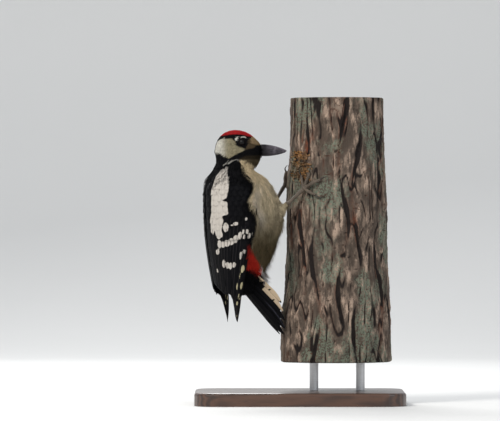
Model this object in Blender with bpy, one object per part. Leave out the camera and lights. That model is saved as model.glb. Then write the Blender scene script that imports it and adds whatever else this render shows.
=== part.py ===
"""Young great spotted woodpecker, life size, clinging to a cut length of trunk on a display stand.

Lengths are metres and +Z is up. The origin is the middle of the stand's underside. The bird
faces +X, its right side is towards -Y, and the trunk that it holds is on its front side.
"""

import math

import bmesh
import bpy
from mathutils import Matrix, Vector

MM = 0.001
GAP = 0.3 * MM

# The stand and the cut length of trunk.
BASE_SIZE = (190 * MM, 138 * MM, 12 * MM)
BASE_CORNER = 22 * MM
BASE_RIM = 2.5 * MM
ROD_RADIUS = 4 * MM
ROD_SPREAD = 42 * MM
LOG_AXIS = Vector((34 * MM, 10 * MM, 0.0))
LOG_BOTTOM = 38 * MM
LOG_TOP = 277 * MM
# Height and radius of the trunk, from its foot to its cut top.
LOG_RADII = (
    (38, 49.5), (60, 49.0), (99, 47.0), (147, 45.0), (181, 45.4), (207, 43.5), (277, 42.5)
)
BARK_RIDGES = 11
BARK_DEPTH = 0.9 * MM
LOG_WAVE = 0.6 * MM
# The main fissures between the bark's plates: they wander, and fade and deepen with height.
FISSURES = 15
FISSURE_DEPTH = 2.1 * MM
FISSURE_HALF_WIDTH = 2.3  # degrees
FISSURE_WANDER = 5.5  # degrees
# Where the feet and the tail rest the bark is whole: heights, and degrees from the facing side.
WHOLE_BARK = (((176 * MM, 224 * MM), 62.0), ((0.0, 99 * MM), 34.0))
# The swell of bark that the tail rests on.
SWELL_DEPTH = 2.8 * MM
SWELL_HALF_ANGLE = 24.0
SWELL_TOP = 98 * MM
SWELL_FADE = 14 * MM

# The bird: its body is turned about the neck so that it faces the trunk, and its head looks ahead.
BODY_TURN = math.radians(20)
NECK_TO_LOG = 93.5 * MM
SUPER = 2.2  # roundness of the body's sections: 2 is an ellipse, more is fuller
BODY_SIDES = 20
RINGS_PER_STATION = 2

# Stations from the bill round the nape to the tail, in millimetres from the neck's axis and the
# floor: upper side (x, z), under side (x, z), half width, share of the body's turn.
STATIONS = {
    "bill": ((18.6, 234.9), (18.8, 222.0), 5.2, 0.0),
    "forehead": ((13.2, 240.8), (17.4, 218.6), 10.0, 0.0),
    "eye": ((5.8, 245.8), (15.2, 216.0), 13.4, 0.0),
    "crown": ((-3.5, 248.0), (13.4, 214.2), 14.9, 0.0),
    "hind_crown": ((-12.5, 246.2), (12.8, 213.0), 15.4, 0.03),
    "nape": ((-19.6, 240.4), (13.0, 212.0), 15.8, 0.1),
    "hind_neck": ((-23.5, 229.5), (14.0, 210.8), 16.2, 0.3),
    "neck": ((-21.8, 218.6), (16.2, 208.6), 17.6, 0.55),
    "neck_base": ((-26.2, 210.6), (20.6, 205.0), 21.4, 0.85),
    "shoulder": ((-30.6, 202.5), (26.6, 199.0), 25.2, 1.0),
    "breast_top": ((-32.6, 193.0), (31.6, 191.0), 28.0, 1.0),
    "breast": ((-33.2, 182.5), (36.7, 182.0), 29.6, 1.0),
    "belly": ((-32.6, 168.0), (39.6, 169.0), 30.3, 1.0),
    "low_belly": ((-31.4, 151.0), (34.6, 151.5), 29.0, 1.0),
    "flank": ((-27.8, 134.0), (28.6, 135.0), 25.4, 1.0),
    "vent": ((-20.0, 119.5), (22.4, 122.5), 20.0, 1.0),
    "tail_root": ((-11.5, 107.0), (24.5, 112.5), 15.0, 1.0),
    "tail_coverts": ((-1.5, 98.5), (27.0, 104.5), 10.5, 1.0),
}
NECK_CUT = (Vector((-24.5 * MM, 0, 218.5 * MM)), Vector((13 * MM, 0, 212 * MM)))
BREAST_CUT = 199 * MM
BELLY_CUT = 161 * MM
RUMP_CUT = 127 * MM

# The folded wing lies on an oval that follows the body and runs on below it:
# height, centre, half depth, half width.
WING_LEVELS = (
    (73, -7.2, 2.4, 15.6),
    (85, -6.5, 9.0, 17.2),
    (96, -5.6, 14.2, 19.2),
    (105, -4.9, 18.6, 21.4),
    (118, -3.7, 22.6, 24.8),
    (133, -2.0, 27.0, 27.8),
    (150, 0.6, 32.0, 30.2),
    (165, 2.5, 35.0, 31.2),
    (180, 2.7, 35.8, 30.8),
    (195, 1.6, 34.4, 27.6),
    (209, -2.2, 27.0, 22.0),
)
WING_BACK = math.radians(12)
WING_FRONT = math.radians(92)
WING_THICKNESS = 3.0 * MM
QUILL_THICKNESS = 1.6 * MM
TRACT_GAP = 1.1 * MM
RECESS_REACH = 5 * MM  # how far out the hollow for the wing reaches
# Shares across the wing, from the back, 0, to the flank, 1.
SCAPULARS_END = 0.46
COVERTS_START = 0.475
PRIMARIES_START = 0.42
TIP_ACROSS = 0.8
PRIMARIES_TAPER = 0.75
TAPER_CENTRE = 0.62
# Heights of the feather rows' ends, in millimetres, and the depth of their scallops.
SHOULDER_HEIGHT = 197
SHOULDER_RISE = 11.5
COVERTS_END = (150, 138)
COVERT_SCALLOP = 1.6
COVERTS_SCALLOPS = 5
SCAPULAR_END = 139
SCAPULAR_CURVE = 26
QUILLS_END = 97
QUILLS_RISE = 7
QUILL_SCALLOP = 1.8
QUILL_SCALLOPS = 4
TIP_END = 73
TIP_RISE = 13

# Tail: five pairs of stiff feathers in a tent, the middle pair on top and longest.
TAIL_ROOT = Vector((-2.5 * MM, 0, 107.5 * MM))
TAIL_LEAN = math.radians(41)
TAIL_LENGTHS = (61.0, 57.0, 50.0, 42.5, 35.0)
TAIL_SPANS = ((0.3, 9.6), (4.2, 13.0), (8.2, 16.4), (12.0, 19.4), (15.4, 22.2))
TAIL_TENT = 15.0 * MM
TAIL_HALF_WIDTH = 20 * MM
TAIL_ROOT_SPREAD = 0.7
TAIL_LAYER = 1.25 * MM
TAIL_THICKNESS = 0.8 * MM
TAIL_POINT_START = 0.66  # share of a feather's length where its pointed end begins
TAIL_POINT_WIDTH = 0.14
SOCKET_SIDE = 23.5  # reach of the rump's slot to each side, in millimetres
SOCKET_CLEARANCE = 1.0 * MM

# Head: places in millimetres from the neck's axis.
BILL_LENGTH = 22.6 * MM
BILL_DEPTH = 10.9 * MM
BILL_WIDTH = 8.6 * MM
BILL_TIP_DEPTH = 0.15  # share of the root's depth and width left at the chisel tip
BILL_TIP_WIDTH = 0.3
LOWER_BILL_SHARE = 0.965
BILL_STEPS = 9
BILL_ARC = 8
BILL_ROOT = Vector((19.4 * MM, 0, 229.4 * MM))
BILL_DROOP = math.radians(3)
GAPE_HEIGHT = -0.6 * MM
EYE_RADIUS = 3.3 * MM
EYE_PLACE = Vector((1.4 * MM, 11.5 * MM, 236.3 * MM))

# Legs: angles round the trunk from the side that faces the bird, outwards.
HEEL = Vector((39.0 * MM, 16.0 * MM, 180.5 * MM))
THIGH_ROOT = Vector((23 * MM, 15.5 * MM, 168 * MM))
THIGH_RADII = (9.0 * MM, 3.0 * MM)
TARSUS_RADIUS = 1.45 * MM
TOE_RADIUS = 1.2 * MM
TARSUS_ENDS = (1.2 * MM, 5.0 * MM)  # left free at the heel and at the foot
TARSUS_SAG = 0.6 * MM
FOOT_RADIUS = 2.1 * MM
FOOT_LIFT = 3.0 * MM
FOOT_ANGLE = 28.8
FOOT_HEIGHT = 195.0
# Each toe: degrees round the trunk and millimetres up from the foot.
TOES = {
    "inner": (-5.5, 10.5),
    "middle": (6.0, 13.0),
    "outer": (19.6, 7.5),
    "hind": (14.0, -5.5),
}
TOE_KNUCKLE = 1.1 * MM
CLAW_LENGTH = 6.5 * MM
CLAW_RADII = (0.85 * MM, 0.78 * MM, 0.62 * MM, 0.42 * MM, 0.25 * MM)
CLAW_ARCH = 1.3 * MM
CLAW_DIP = 1.0 * MM
FOOT_LIFTS = {"right": 0.0, "left": 4.0}
SIDES = {"right": -1, "left": 1}

PAINTS = {
    "black_plumage": ((0.012, 0.012, 0.018), 0.55, 0.0),
    "white_plumage": ((0.62, 0.58, 0.50), 0.7, 0.0),
    "buff_plumage": ((0.36, 0.30, 0.21), 0.75, 0.0),
    "red_plumage": ((0.42, 0.02, 0.015), 0.65, 0.0),
    "bill_horn": ((0.035, 0.033, 0.037), 0.4, 0.0),
    "claw_horn": ((0.05, 0.045, 0.04), 0.4, 0.0),
    "eye": ((0.02, 0.008, 0.005), 0.06, 0.0),
    "leg_scales": ((0.14, 0.125, 0.10), 0.6, 0.0),
    "bark": ((0.16, 0.13, 0.10), 0.9, 0.0),
    "stand_wood": ((0.05, 0.03, 0.02), 0.4, 0.0),
    "stand_steel": ((0.55, 0.55, 0.56), 0.3, 1.0),
}


def clear_scene():
    for thing in list(bpy.data.objects):
        bpy.data.objects.remove(thing, do_unlink=True)


def make_collections():
    model = bpy.data.collections.new("great_spotted_woodpecker")
    cutters = bpy.data.collections.new("cutters")
    bpy.context.scene.collection.children.link(model)
    bpy.context.scene.collection.children.link(cutters)
    return model, cutters


def make_paint(name):
    colour, roughness, metallic = PAINTS[name]
    paint = bpy.data.materials.new(name)
    paint.use_nodes = True
    shader = paint.node_tree.nodes["Principled BSDF"]
    shader.inputs["Base Color"].default_value = (*colour, 1.0)
    shader.inputs["Roughness"].default_value = roughness
    shader.inputs["Metallic"].default_value = metallic
    return paint


def new_object(name, mesh_or_curve, home, paint=None):
    thing = bpy.data.objects.new(name, mesh_or_curve)
    home.objects.link(thing)
    if paint:
        thing.data.materials.clear()
        thing.data.materials.append(paint)
    if home.name == "cutters":
        thing.hide_render = True
        thing.display_type = "WIRE"
    return thing


def mesh_from(shape, name):
    mesh = bpy.data.meshes.new(name)
    shape.to_mesh(mesh)
    shape.free()
    return mesh


def catmull(before, start, end, after, t):
    """A smooth value between start and end, at t from 0 to 1."""
    straight = 2 * start + (end - before) * t
    squared = (2 * before - 5 * start + 4 * end - after) * t * t
    cubed = (3 * start - before - 3 * end + after) * t ** 3
    return 0.5 * (straight + squared + cubed)


def smooth_row(rows, place):
    """The row of numbers at a fractional place in a table of rows."""
    last = len(rows) - 1
    index = min(int(place), last - 1)
    near = [rows[max(0, min(last, index + k))] for k in (-1, 0, 1, 2)]
    return [catmull(*column, place - index) for column in zip(*near)]


def level_row(rows, height):
    """The smooth row at a height, from a table whose first column is the height."""
    heights = [row[0] for row in rows]
    height = max(heights[0], min(heights[-1], height))
    index = max(k for k in range(len(rows) - 1) if heights[k] <= height)
    share = (height - heights[index]) / (heights[index + 1] - heights[index])
    return smooth_row([row[1:] for row in rows], index + share)


def turned(x, y, angle):
    return Vector((x * math.cos(angle) - y * math.sin(angle), x * math.sin(angle) + y * math.cos(angle)))


def neck_axis():
    back = turned(-NECK_TO_LOG, 0, BODY_TURN)
    return Vector((LOG_AXIS.x + back.x, LOG_AXIS.y + back.y, 0))


def in_world(point, share=1.0):
    """A point of the bird, measured from its neck's axis, in its pose; share 0 is the head's turn."""
    flat = turned(point[0], point[1], BODY_TURN * share)
    return neck_axis() + Vector((flat.x, flat.y, point[2]))


def loft(rings, thin=False):
    """A closed body through rings of points; thin ones have their ends closed by strips."""
    shape = bmesh.new()
    loops = [[shape.verts.new(point) for point in ring] for ring in rings]
    count = len(rings[0])
    for low, high in zip(loops, loops[1:]):
        for k in range(count):
            shape.faces.new((low[k], low[(k + 1) % count], high[(k + 1) % count], high[k]))
    for end in (loops[0], loops[-1]):
        if thin:
            for k in range(count // 2 - 1):
                shape.faces.new((end[k], end[k + 1], end[count - 2 - k], end[count - 1 - k]))
        else:
            shape.faces.new(end)
    bmesh.ops.recalc_face_normals(shape, faces=shape.faces)
    return shape


def rounded(value):
    """A superellipse's share of its half axis, from a cosine or sine."""
    return math.copysign(abs(value) ** (2 / SUPER), value)


def body_ring(row):
    upper_x, upper_z, under_x, under_z, half_width, share = row
    middle = Vector(((upper_x + under_x) / 2, 0, (upper_z + under_z) / 2))
    upward = Vector(((upper_x - under_x) / 2, 0, (upper_z - under_z) / 2))
    sideways = Vector((0, half_width, 0))
    ring = []
    for k in range(BODY_SIDES):
        angle = 2 * math.pi * k / BODY_SIDES
        place = middle + upward * rounded(math.cos(angle)) + sideways * rounded(math.sin(angle))
        ring.append(in_world(place * MM, share))
    return ring


def body_shape():
    """Head, neck and trunk of the bird as one closed loft."""
    rows = [(*upper, *under, width, share) for upper, under, width, share in STATIONS.values()]
    steps = (len(rows) - 1) * RINGS_PER_STATION
    places = [k / RINGS_PER_STATION for k in range(steps + 1)]
    return loft([body_ring(smooth_row(rows, place)) for place in places])


def wing_point(across, height, side, lift=0.0):
    """A point of the folded wing's outer face; across runs from the back, 0, to the flank, 1."""
    centre, depth, width = level_row(WING_LEVELS, height / MM)
    angle = WING_BACK + (WING_FRONT - WING_BACK) * across
    x = centre * MM - (depth * MM + lift) * math.cos(angle)
    y = (width * MM + lift) * math.sin(angle)
    return in_world(Vector((x, side * y, height)))


def slab(columns, rows, place):
    """A closed slab whose points are place(u, v, w); w is 0 on its outer face and 1 on its inner."""
    rings = []
    for row in range(rows + 1):
        v = row / rows
        outer = [place(k / columns, v, 0) for k in range(columns + 1)]
        inner = [place(1 - k / columns, v, 1) for k in range(columns + 1)]
        rings.append(outer + inner)
    return loft(rings, thin=True)


def baked(thing):
    """The object as a plain mesh, with its modifiers applied."""
    graph = bpy.context.evaluated_depsgraph_get()
    mesh = bpy.data.meshes.new_from_object(thing.evaluated_get(graph))
    thing.modifiers.clear()
    thing.data = mesh
    return thing


def cut(thing, cutter, operation="DIFFERENCE"):
    boolean = thing.modifiers.new("cut", "BOOLEAN")
    boolean.operation = operation
    boolean.solver = "EXACT"
    boolean.object = cutter


def shade(thing, angle=40):
    thing.data.shade_smooth()
    thing.data.set_sharp_from_angle(angle=math.radians(angle))


# ---------------------------------------------------------------- wings


def scallops(across, count, depth):
    """How far below their line the rounded ends of a row of feathers reach."""
    return depth * abs(math.sin(math.pi * count * across))


def wing_top(across):
    """Upper edge of the wing: low at the back, highest at the shoulder."""
    return (SHOULDER_HEIGHT + SHOULDER_RISE * math.sin(math.pi * across * 2 / 3)) * MM


def covert_edge(across):
    """Where the wing coverts end and the flight feathers begin."""
    line = COVERTS_END[0] + (COVERTS_END[1] - COVERTS_END[0]) * across
    return (line - scallops(across, COVERTS_SCALLOPS, COVERT_SCALLOP)) * MM


def scapular_edge(across):
    """The rounded lower end of the shoulder feathers."""
    outer = max(0.0, across / SCAPULARS_END - 0.45)
    return (SCAPULAR_END + SCAPULAR_CURVE * outer ** 2) * MM


def quill_edge(across):
    """Where the tertials and secondaries end, over the primaries."""
    line = QUILLS_END + QUILLS_RISE * max(0.0, 0.5 - across)
    return (line - scallops(across, QUILL_SCALLOPS, QUILL_SCALLOP)) * MM


def wing_tip(across):
    """The primaries' ends: longest next to the wing's front edge."""
    return (TIP_END + TIP_RISE * abs(across - TIP_ACROSS) ** 1.2) * MM


WING_TRACTS = {
    # tract: low u, high u, upper edge, lower edge, thickness, paint
    "scapulars": (0.0, SCAPULARS_END, wing_top, scapular_edge, WING_THICKNESS, "white_plumage"),
    "coverts": (COVERTS_START, 1.0, wing_top, covert_edge, WING_THICKNESS, "black_plumage"),
    "tertials": (0.0, SCAPULARS_END, scapular_edge, quill_edge, QUILL_THICKNESS, "black_plumage"),
    "secondaries": (COVERTS_START, 1.0, covert_edge, quill_edge, QUILL_THICKNESS, "black_plumage"),
    "primaries": (PRIMARIES_START, 1.0, quill_edge, wing_tip, QUILL_THICKNESS, "black_plumage"),
}


def make_wing(label, side, home, paints):
    for tract, (low, high, upper, lower, thickness, paint) in WING_TRACTS.items():
        taper = PRIMARIES_TAPER if tract == "primaries" else 0.0

        def place(u, v, w):
            across = low + (high - low) * (u + (TAPER_CENTRE - u) * taper * (1 - v) ** 1.4)
            top = upper(across) - TRACT_GAP
            bottom = lower(across)
            return wing_point(across, bottom + (top - bottom) * v, side, -thickness * w)

        wing = new_object(
            f"{tract}_{label}", mesh_from(slab(4, 7, place), tract), home, paints[paint]
        )
        shade(wing)


def wing_recess(label, side, cutters):
    """The hollow in the body's side that the wing lies in."""

    def place(u, v, w):
        across = 1.05 * u - 0.03
        bottom = (TIP_END - 3) * MM
        top = wing_top(max(0.0, min(1.0, across))) + GAP
        lift = RECESS_REACH - (RECESS_REACH + WING_THICKNESS + GAP) * w
        return wing_point(across, bottom + (top - bottom) * v, side, lift)

    return new_object(f"recess_{label}", mesh_from(slab(8, 14, place), "recess"), cutters)


# ---------------------------------------------------------------- tail


def tail_point(sideways, along, layer):
    """A point of the tail: millimetres sideways at full spread, metres along, metres under."""
    forward = Vector((math.sin(TAIL_LEAN), 0, -math.cos(TAIL_LEAN)))
    under = Vector((math.cos(TAIL_LEAN), 0, math.sin(TAIL_LEAN)))
    share = min(1.0, along / (TAIL_LENGTHS[0] * MM))
    spread = TAIL_ROOT_SPREAD + (1 - TAIL_ROOT_SPREAD) * share
    drop = TAIL_TENT * (abs(sideways) * MM / TAIL_HALF_WIDTH) ** 1.25 * spread
    place = TAIL_ROOT + forward * along + under * (drop + layer)
    place.y = sideways * MM * spread
    return in_world(place)


def make_tail(home, paints):
    for label, side in SIDES.items():
        for pair, (length, (inner, outer)) in enumerate(zip(TAIL_LENGTHS, TAIL_SPANS)):
            middle = (inner + outer) / 2

            def place(u, v, w):
                point = max(0.0, (v - TAIL_POINT_START) / (1 - TAIL_POINT_START))
                point_share = 1 - (1 - TAIL_POINT_WIDTH) * point ** 1.6
                offset = (inner + (outer - inner) * u - middle) * point_share
                layer = pair * TAIL_LAYER + TAIL_THICKNESS * w
                return tail_point(side * (middle + offset), length * MM * v, layer)

            paint = "black_plumage" if pair < 3 else "white_plumage"
            name = f"tail_feather_{pair + 1}_{label}"
            feather = new_object(name, mesh_from(slab(3, 7, place), name), home, paints[paint])
            shade(feather)


def tail_socket(cutters):
    """The slot in the rump that the tail feathers come out of."""

    def place(u, v, w):
        depth = 4 * TAIL_LAYER + TAIL_THICKNESS + 2 * SOCKET_CLEARANCE
        along = TAIL_LENGTHS[0] * MM * v - SOCKET_CLEARANCE
        return tail_point(SOCKET_SIDE * (2 * u - 1), along, depth * w - SOCKET_CLEARANCE)

    return new_object("tail_socket", mesh_from(slab(10, 6, place), "tail_socket"), cutters)


# ---------------------------------------------------------------- head


def bill_sections(upper):
    """Rings along one half of the bill, from its root to its chisel tip."""
    rings = []
    for k in range(BILL_STEPS):
        t = k / (BILL_STEPS - 1)
        depth = BILL_DEPTH * (1 - (1 - BILL_TIP_DEPTH) * t ** 2.1)
        width = BILL_WIDTH * (1 - (1 - BILL_TIP_WIDTH) * t ** 1.1)
        reach = BILL_LENGTH * t * (1 if upper else LOWER_BILL_SHARE)
        gape = GAPE_HEIGHT * (1 - t)
        side = 1 if upper else -1
        ring = []
        for j in range(BILL_ARC):
            angle = math.pi * j / (BILL_ARC - 1)
            rise = max(math.sin(angle) ** 0.8 * depth / 2 - side * gape, GAP * 0.4)
            ring.append(Vector((reach, math.cos(angle) * width / 2, gape + side * rise)))
        rings.append(ring)
    return rings


def make_bill(home, paints):
    tilt = Matrix.Rotation(BILL_DROOP, 3, "Y")
    for name, upper in (("bill_upper", True), ("bill_lower", False)):
        rings = [
            [in_world(BILL_ROOT + tilt @ point, 0.0) for point in ring]
            for ring in bill_sections(upper)
        ]
        bill = new_object(name, mesh_from(loft(rings), name), home, paints["bill_horn"])
        shade(bill, 35)


def ball(name, place, radius, home, paint=None, segments=12):
    shape = bmesh.new()
    bmesh.ops.create_uvsphere(shape, u_segments=segments, v_segments=segments // 2 + 2, radius=radius)
    bmesh.ops.rotate(shape, cent=(0, 0, 0), matrix=Matrix.Rotation(math.pi / 2, 3, "X"), verts=shape.verts)
    bmesh.ops.translate(shape, vec=place, verts=shape.verts)
    return new_object(name, mesh_from(shape, name), home, paint)


# ---------------------------------------------------------------- legs and feet


def bark_radius(degrees, height):
    """Radius of the trunk at an angle from the side that faces the bird, and a height."""
    base = level_row(LOG_RADII, height / MM)[0] * MM
    angle = math.radians(degrees)
    wander = 0.9 * math.sin(height / (17 * MM)) + 0.5 * math.sin(height / (7 * MM))
    ridge = BARK_DEPTH * math.sin(BARK_RIDGES * angle + wander)
    wave = math.sin(3 * angle + 1.3) * 0.7 + math.sin(2 * angle + height / (60 * MM))
    facing = (degrees + 180) % 360 - 180
    fade = 1 / (1 + math.exp((height - SWELL_TOP) / SWELL_FADE * 4))
    swell = SWELL_DEPTH * math.exp(-(facing / SWELL_HALF_ANGLE) ** 2) * fade
    return base + ridge + LOG_WAVE * wave + swell


def on_trunk(degrees, height, lift, side=-1):
    """A point at a lift off the bark; degrees run outwards on that side of the bird."""
    angle = math.radians(degrees)
    reach = bark_radius(-side * degrees, height) + lift
    flat = turned(-reach * math.cos(angle), side * reach * math.sin(angle), BODY_TURN)
    return Vector((LOG_AXIS.x + flat.x, LOG_AXIS.y + flat.y, height))


def tube(name, points, radii, home, paint=None, sides=1):
    """A tapering round tube through points, with filled ends."""
    curve = bpy.data.curves.new(name, "CURVE")
    curve.dimensions = "3D"
    curve.bevel_depth = 1.0
    curve.bevel_resolution = sides
    curve.use_fill_caps = True
    spline = curve.splines.new("POLY")
    spline.points.add(len(points) - 1)
    for knot, place, radius in zip(spline.points, points, radii):
        knot.co = (*place, 1.0)
        knot.radius = radius
    return new_object(name, curve, home, paint)


def as_mesh(thing):
    """A curve made a closed mesh object of the same name and collection."""
    graph = bpy.context.evaluated_depsgraph_get()
    mesh = bpy.data.meshes.new_from_object(thing.evaluated_get(graph))
    home = thing.users_collection[0]
    name = thing.name
    paint = thing.data.materials[0] if thing.data.materials else None
    bpy.data.objects.remove(thing, do_unlink=True)
    shape = bmesh.new()
    shape.from_mesh(mesh)
    bmesh.ops.remove_doubles(shape, verts=shape.verts, dist=0.00001)
    bmesh.ops.recalc_face_normals(shape, faces=shape.faces)
    shape.to_mesh(mesh)
    shape.free()
    return new_object(name, mesh, home, paint)


def arc_points(start, middle, end, count):
    """Points on a smooth bend from start to end that leans towards middle."""
    places = []
    for k in range(count):
        t = k / (count - 1)
        places.append(start * (1 - t) ** 2 + middle * 2 * t * (1 - t) + end * t * t)
    return places


def make_toe(side, around, up, foot_height):
    """Centre line of one toe, over the bark with a raised knuckle, and of its claw."""
    toe, claw = [], []
    toe_steps, claw_steps = 7, len(CLAW_RADII)
    span = math.hypot(math.radians(around) * bark_radius(0, foot_height), up * MM)
    for k in range(toe_steps):
        t = k / (toe_steps - 1)
        lift = TOE_RADIUS * 1.55 + TOE_KNUCKLE * math.sin(math.pi * t)
        lift += (FOOT_LIFT - TOE_RADIUS * 1.75) * (1 - t) ** 2
        toe.append(on_trunk(FOOT_ANGLE + around * t, foot_height + up * MM * t, lift, side))
    for k in range(claw_steps):
        t = k / (claw_steps - 1)
        run = 1 + (GAP * 2.2 + CLAW_LENGTH * t) / span
        lift = TOE_RADIUS * 1.5 + CLAW_ARCH * math.sin(math.pi * t) ** 1.2 - CLAW_DIP * t ** 2
        claw.append(on_trunk(FOOT_ANGLE + around * run, foot_height + up * MM * run, lift, side))
    return toe, claw


def make_thigh(label, hip, heel, home, cutters, paints):
    """The feathered thigh, and the hollow that the belly leaves for it."""
    steps = 7
    shares = [k / (steps - 1) for k in range(steps)]
    line = [hip + (heel - hip) * share for share in shares]
    root, end = THIGH_RADII
    radii = [root + (end - root) * share ** 1.3 for share in shares]
    shade(as_mesh(tube(f"thigh_{label}", line, radii, home, paints["buff_plumage"], 3)))
    grown = [radius + GAP for radius in radii]
    ends = (heel - hip).normalized() * GAP
    line[0] -= ends
    line[-1] += ends
    return as_mesh(tube(f"thigh_hollow_{label}", line, grown, cutters, None, 3))


def make_leg(label, side, home, cutters, paints):
    """Thigh, tarsus, foot and claws of one leg; gives back the hollow for the thigh."""
    foot_height = (FOOT_HEIGHT + FOOT_LIFTS[label]) * MM
    heel = in_world(Vector((HEEL.x, side * HEEL.y, HEEL.z + FOOT_LIFTS[label] / 2 * MM)))
    hip = in_world(Vector((THIGH_ROOT.x, side * THIGH_ROOT.y, THIGH_ROOT.z)))
    ankle = on_trunk(FOOT_ANGLE, foot_height, FOOT_LIFT, side)
    hollow = make_thigh(label, hip, heel, home, cutters, paints)

    bone = (ankle - heel).normalized()
    start = heel + bone * TARSUS_ENDS[0]
    end = ankle - bone * TARSUS_ENDS[1]
    line = arc_points(start, (start + end) / 2 - Vector((0, 0, TARSUS_SAG)), end, 6)
    shank = [TARSUS_RADIUS * (1.18 - 0.3 * math.sin(math.pi * k / 5)) for k in range(6)]
    tube(f"tarsus_{label}", line, shank, home, paints["leg_scales"], 2)

    foot = ball(f"foot_{label}", ankle, FOOT_RADIUS, home, paints["leg_scales"], 10)
    toes = []
    for toe_name, (around, up) in TOES.items():
        toe, claw = make_toe(side, around, up, foot_height)
        radii = [TOE_RADIUS * (1.15 - 0.06 * k + 0.12 * (k % 2)) for k in range(len(toe))]
        toes.append(as_mesh(tube(f"toe_{toe_name}", toe, radii, cutters)))
        cut(foot, toes[-1], "UNION")
        tube(f"claw_{toe_name}_{label}", claw, CLAW_RADII, home, paints["claw_horn"])
    baked(foot)
    for toe in toes:
        bpy.data.objects.remove(toe, do_unlink=True)
    return hollow


# ---------------------------------------------------------------- body pieces


def keep_below(shape, corner, normal):
    """Cut a closed shape by a plane, drop what the normal points at and close the cut."""
    everything = list(shape.verts) + list(shape.edges) + list(shape.faces)
    found = bmesh.ops.bisect_plane(
        shape, geom=everything, dist=1e-7, plane_co=corner, plane_no=normal, clear_outer=True
    )
    rim = [piece for piece in found["geom_cut"] if isinstance(piece, bmesh.types.BMEdge)]
    bmesh.ops.holes_fill(shape, edges=rim)
    bmesh.ops.recalc_face_normals(shape, faces=shape.faces)


def make_body(home, paints, hollows):
    """The bird's head, neck and trunk: one loft, parted by thin cuts and hollowed for the rest."""
    neck_line = NECK_CUT[1] - NECK_CUT[0]
    neck_up = Vector((-neck_line.z, 0, neck_line.x)).normalized()
    up = Vector((0, 0, 1))
    pieces = (
        ("head", "white_plumage", in_world(NECK_CUT[0], 0.4), neck_up),
        ("neck", "black_plumage", up * BREAST_CUT, up),
        ("breast", "buff_plumage", up * BELLY_CUT, up),
        ("belly", "buff_plumage", up * RUMP_CUT, up),
        ("rump_and_vent", "red_plumage", None, up),
    )
    above = None
    for name, paint, corner, normal in pieces:
        shape = body_shape()
        if corner:
            keep_below(shape, corner, -normal)
        if above:
            keep_below(shape, above[0] - above[1] * GAP, above[1])
        piece = new_object(name, mesh_from(shape, name), home, paints[paint])
        for hollow in hollows:
            cut(piece, hollow)
        baked(piece)
        shade(piece)
        above = (corner, normal)


# ---------------------------------------------------------------- perch and stand


def fissure_place(index, height):
    """Degrees round the trunk of one main fissure at a height."""
    base = 360 * index / FISSURES + 4.0 * math.sin(2.7 * index)
    return base + FISSURE_WANDER * math.sin(height / (19 * MM) + 1.9 * index)


def fissure_depth(index, height):
    """How deep a main fissure is at a height: none where the feet and the tail rest."""
    depth = FISSURE_DEPTH * (0.62 + 0.38 * math.sin(height / (13 * MM) + 2.3 * index))
    facing = abs((fissure_place(index, height) + 180) % 360 - 180)
    for (low, high), reach in WHOLE_BARK:
        if low < height < high and facing < reach:
            return 0.0
    return depth


def make_perch(home, paints):
    layers = 11
    rings = []
    for level in range(layers + 1):
        height = LOG_BOTTOM + (LOG_TOP - LOG_BOTTOM) * level / layers
        ring = []
        for index in range(FISSURES):
            middle = fissure_place(index, height)
            following = fissure_place((index + 1) % FISSURES, height)
            plate = middle + ((following - middle) % 360) / 2
            for degrees, depth in (
                (middle - FISSURE_HALF_WIDTH, 0.0),
                (middle, fissure_depth(index, height)),
                (middle + FISSURE_HALF_WIDTH, 0.0),
                (plate, 0.0),
            ):
                ring.append(on_trunk(degrees, height, -depth))
        rings.append(ring)
    perch = new_object("perch_trunk", mesh_from(loft(rings), "perch"), home, paints["bark"])
    shade(perch, 50)


def make_stand(home, paints):
    length, width, height = BASE_SIZE
    outline = bmesh.new()
    bmesh.ops.create_cube(outline, size=1.0)
    bmesh.ops.scale(outline, vec=BASE_SIZE, verts=outline.verts)
    bmesh.ops.translate(outline, vec=(0, 0, height / 2), verts=outline.verts)
    corners = [e for e in outline.edges if abs(e.verts[0].co.z - e.verts[1].co.z) > height / 2]
    bmesh.ops.bevel(outline, geom=corners, offset=BASE_CORNER, segments=6, profile=0.5, affect="EDGES")
    rim = [e for e in outline.edges if min(v.co.z for v in e.verts) > height - MM]
    bmesh.ops.bevel(outline, geom=rim, offset=BASE_RIM, segments=3, profile=0.5, affect="EDGES")
    base = new_object("stand_base", mesh_from(outline, "stand_base"), home, paints["stand_wood"])
    shade(base, 30)
    for name, sign in (("stand_rod_left", -1), ("stand_rod_right", 1)):
        shape = bmesh.new()
        depth = LOG_BOTTOM - height - 2 * GAP
        bmesh.ops.create_cone(
            shape, cap_ends=True, segments=20, radius1=ROD_RADIUS, radius2=ROD_RADIUS, depth=depth
        )
        place = Vector((LOG_AXIS.x + sign * ROD_SPREAD / 2, LOG_AXIS.y, height + GAP + depth / 2))
        bmesh.ops.translate(shape, vec=place, verts=shape.verts)
        rod = new_object(name, mesh_from(shape, name), home, paints["stand_steel"])
        shade(rod)


def main():
    clear_scene()
    model, cutters = make_collections()
    paints = {name: make_paint(name) for name in PAINTS}
    hollows = []
    for label, side in SIDES.items():
        make_wing(label, side, model, paints)
        hollows.append(wing_recess(label, side, cutters))
        hollows.append(make_leg(label, side, model, cutters, paints))
        eye_place = Vector((EYE_PLACE.x, side * EYE_PLACE.y, EYE_PLACE.z))
        eye = ball(f"eye_{label}", in_world(eye_place, 0.0), EYE_RADIUS, model, paints["eye"])
        shade(eye)
        hollows.append(ball(f"socket_{label}", in_world(eye_place, 0.0), EYE_RADIUS + GAP, cutters))
    make_tail(model, paints)
    hollows.append(tail_socket(cutters))
    make_bill(model, paints)
    make_body(model, paints, hollows)
    make_perch(model, paints)
    make_stand(model, paints)


main()
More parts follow.
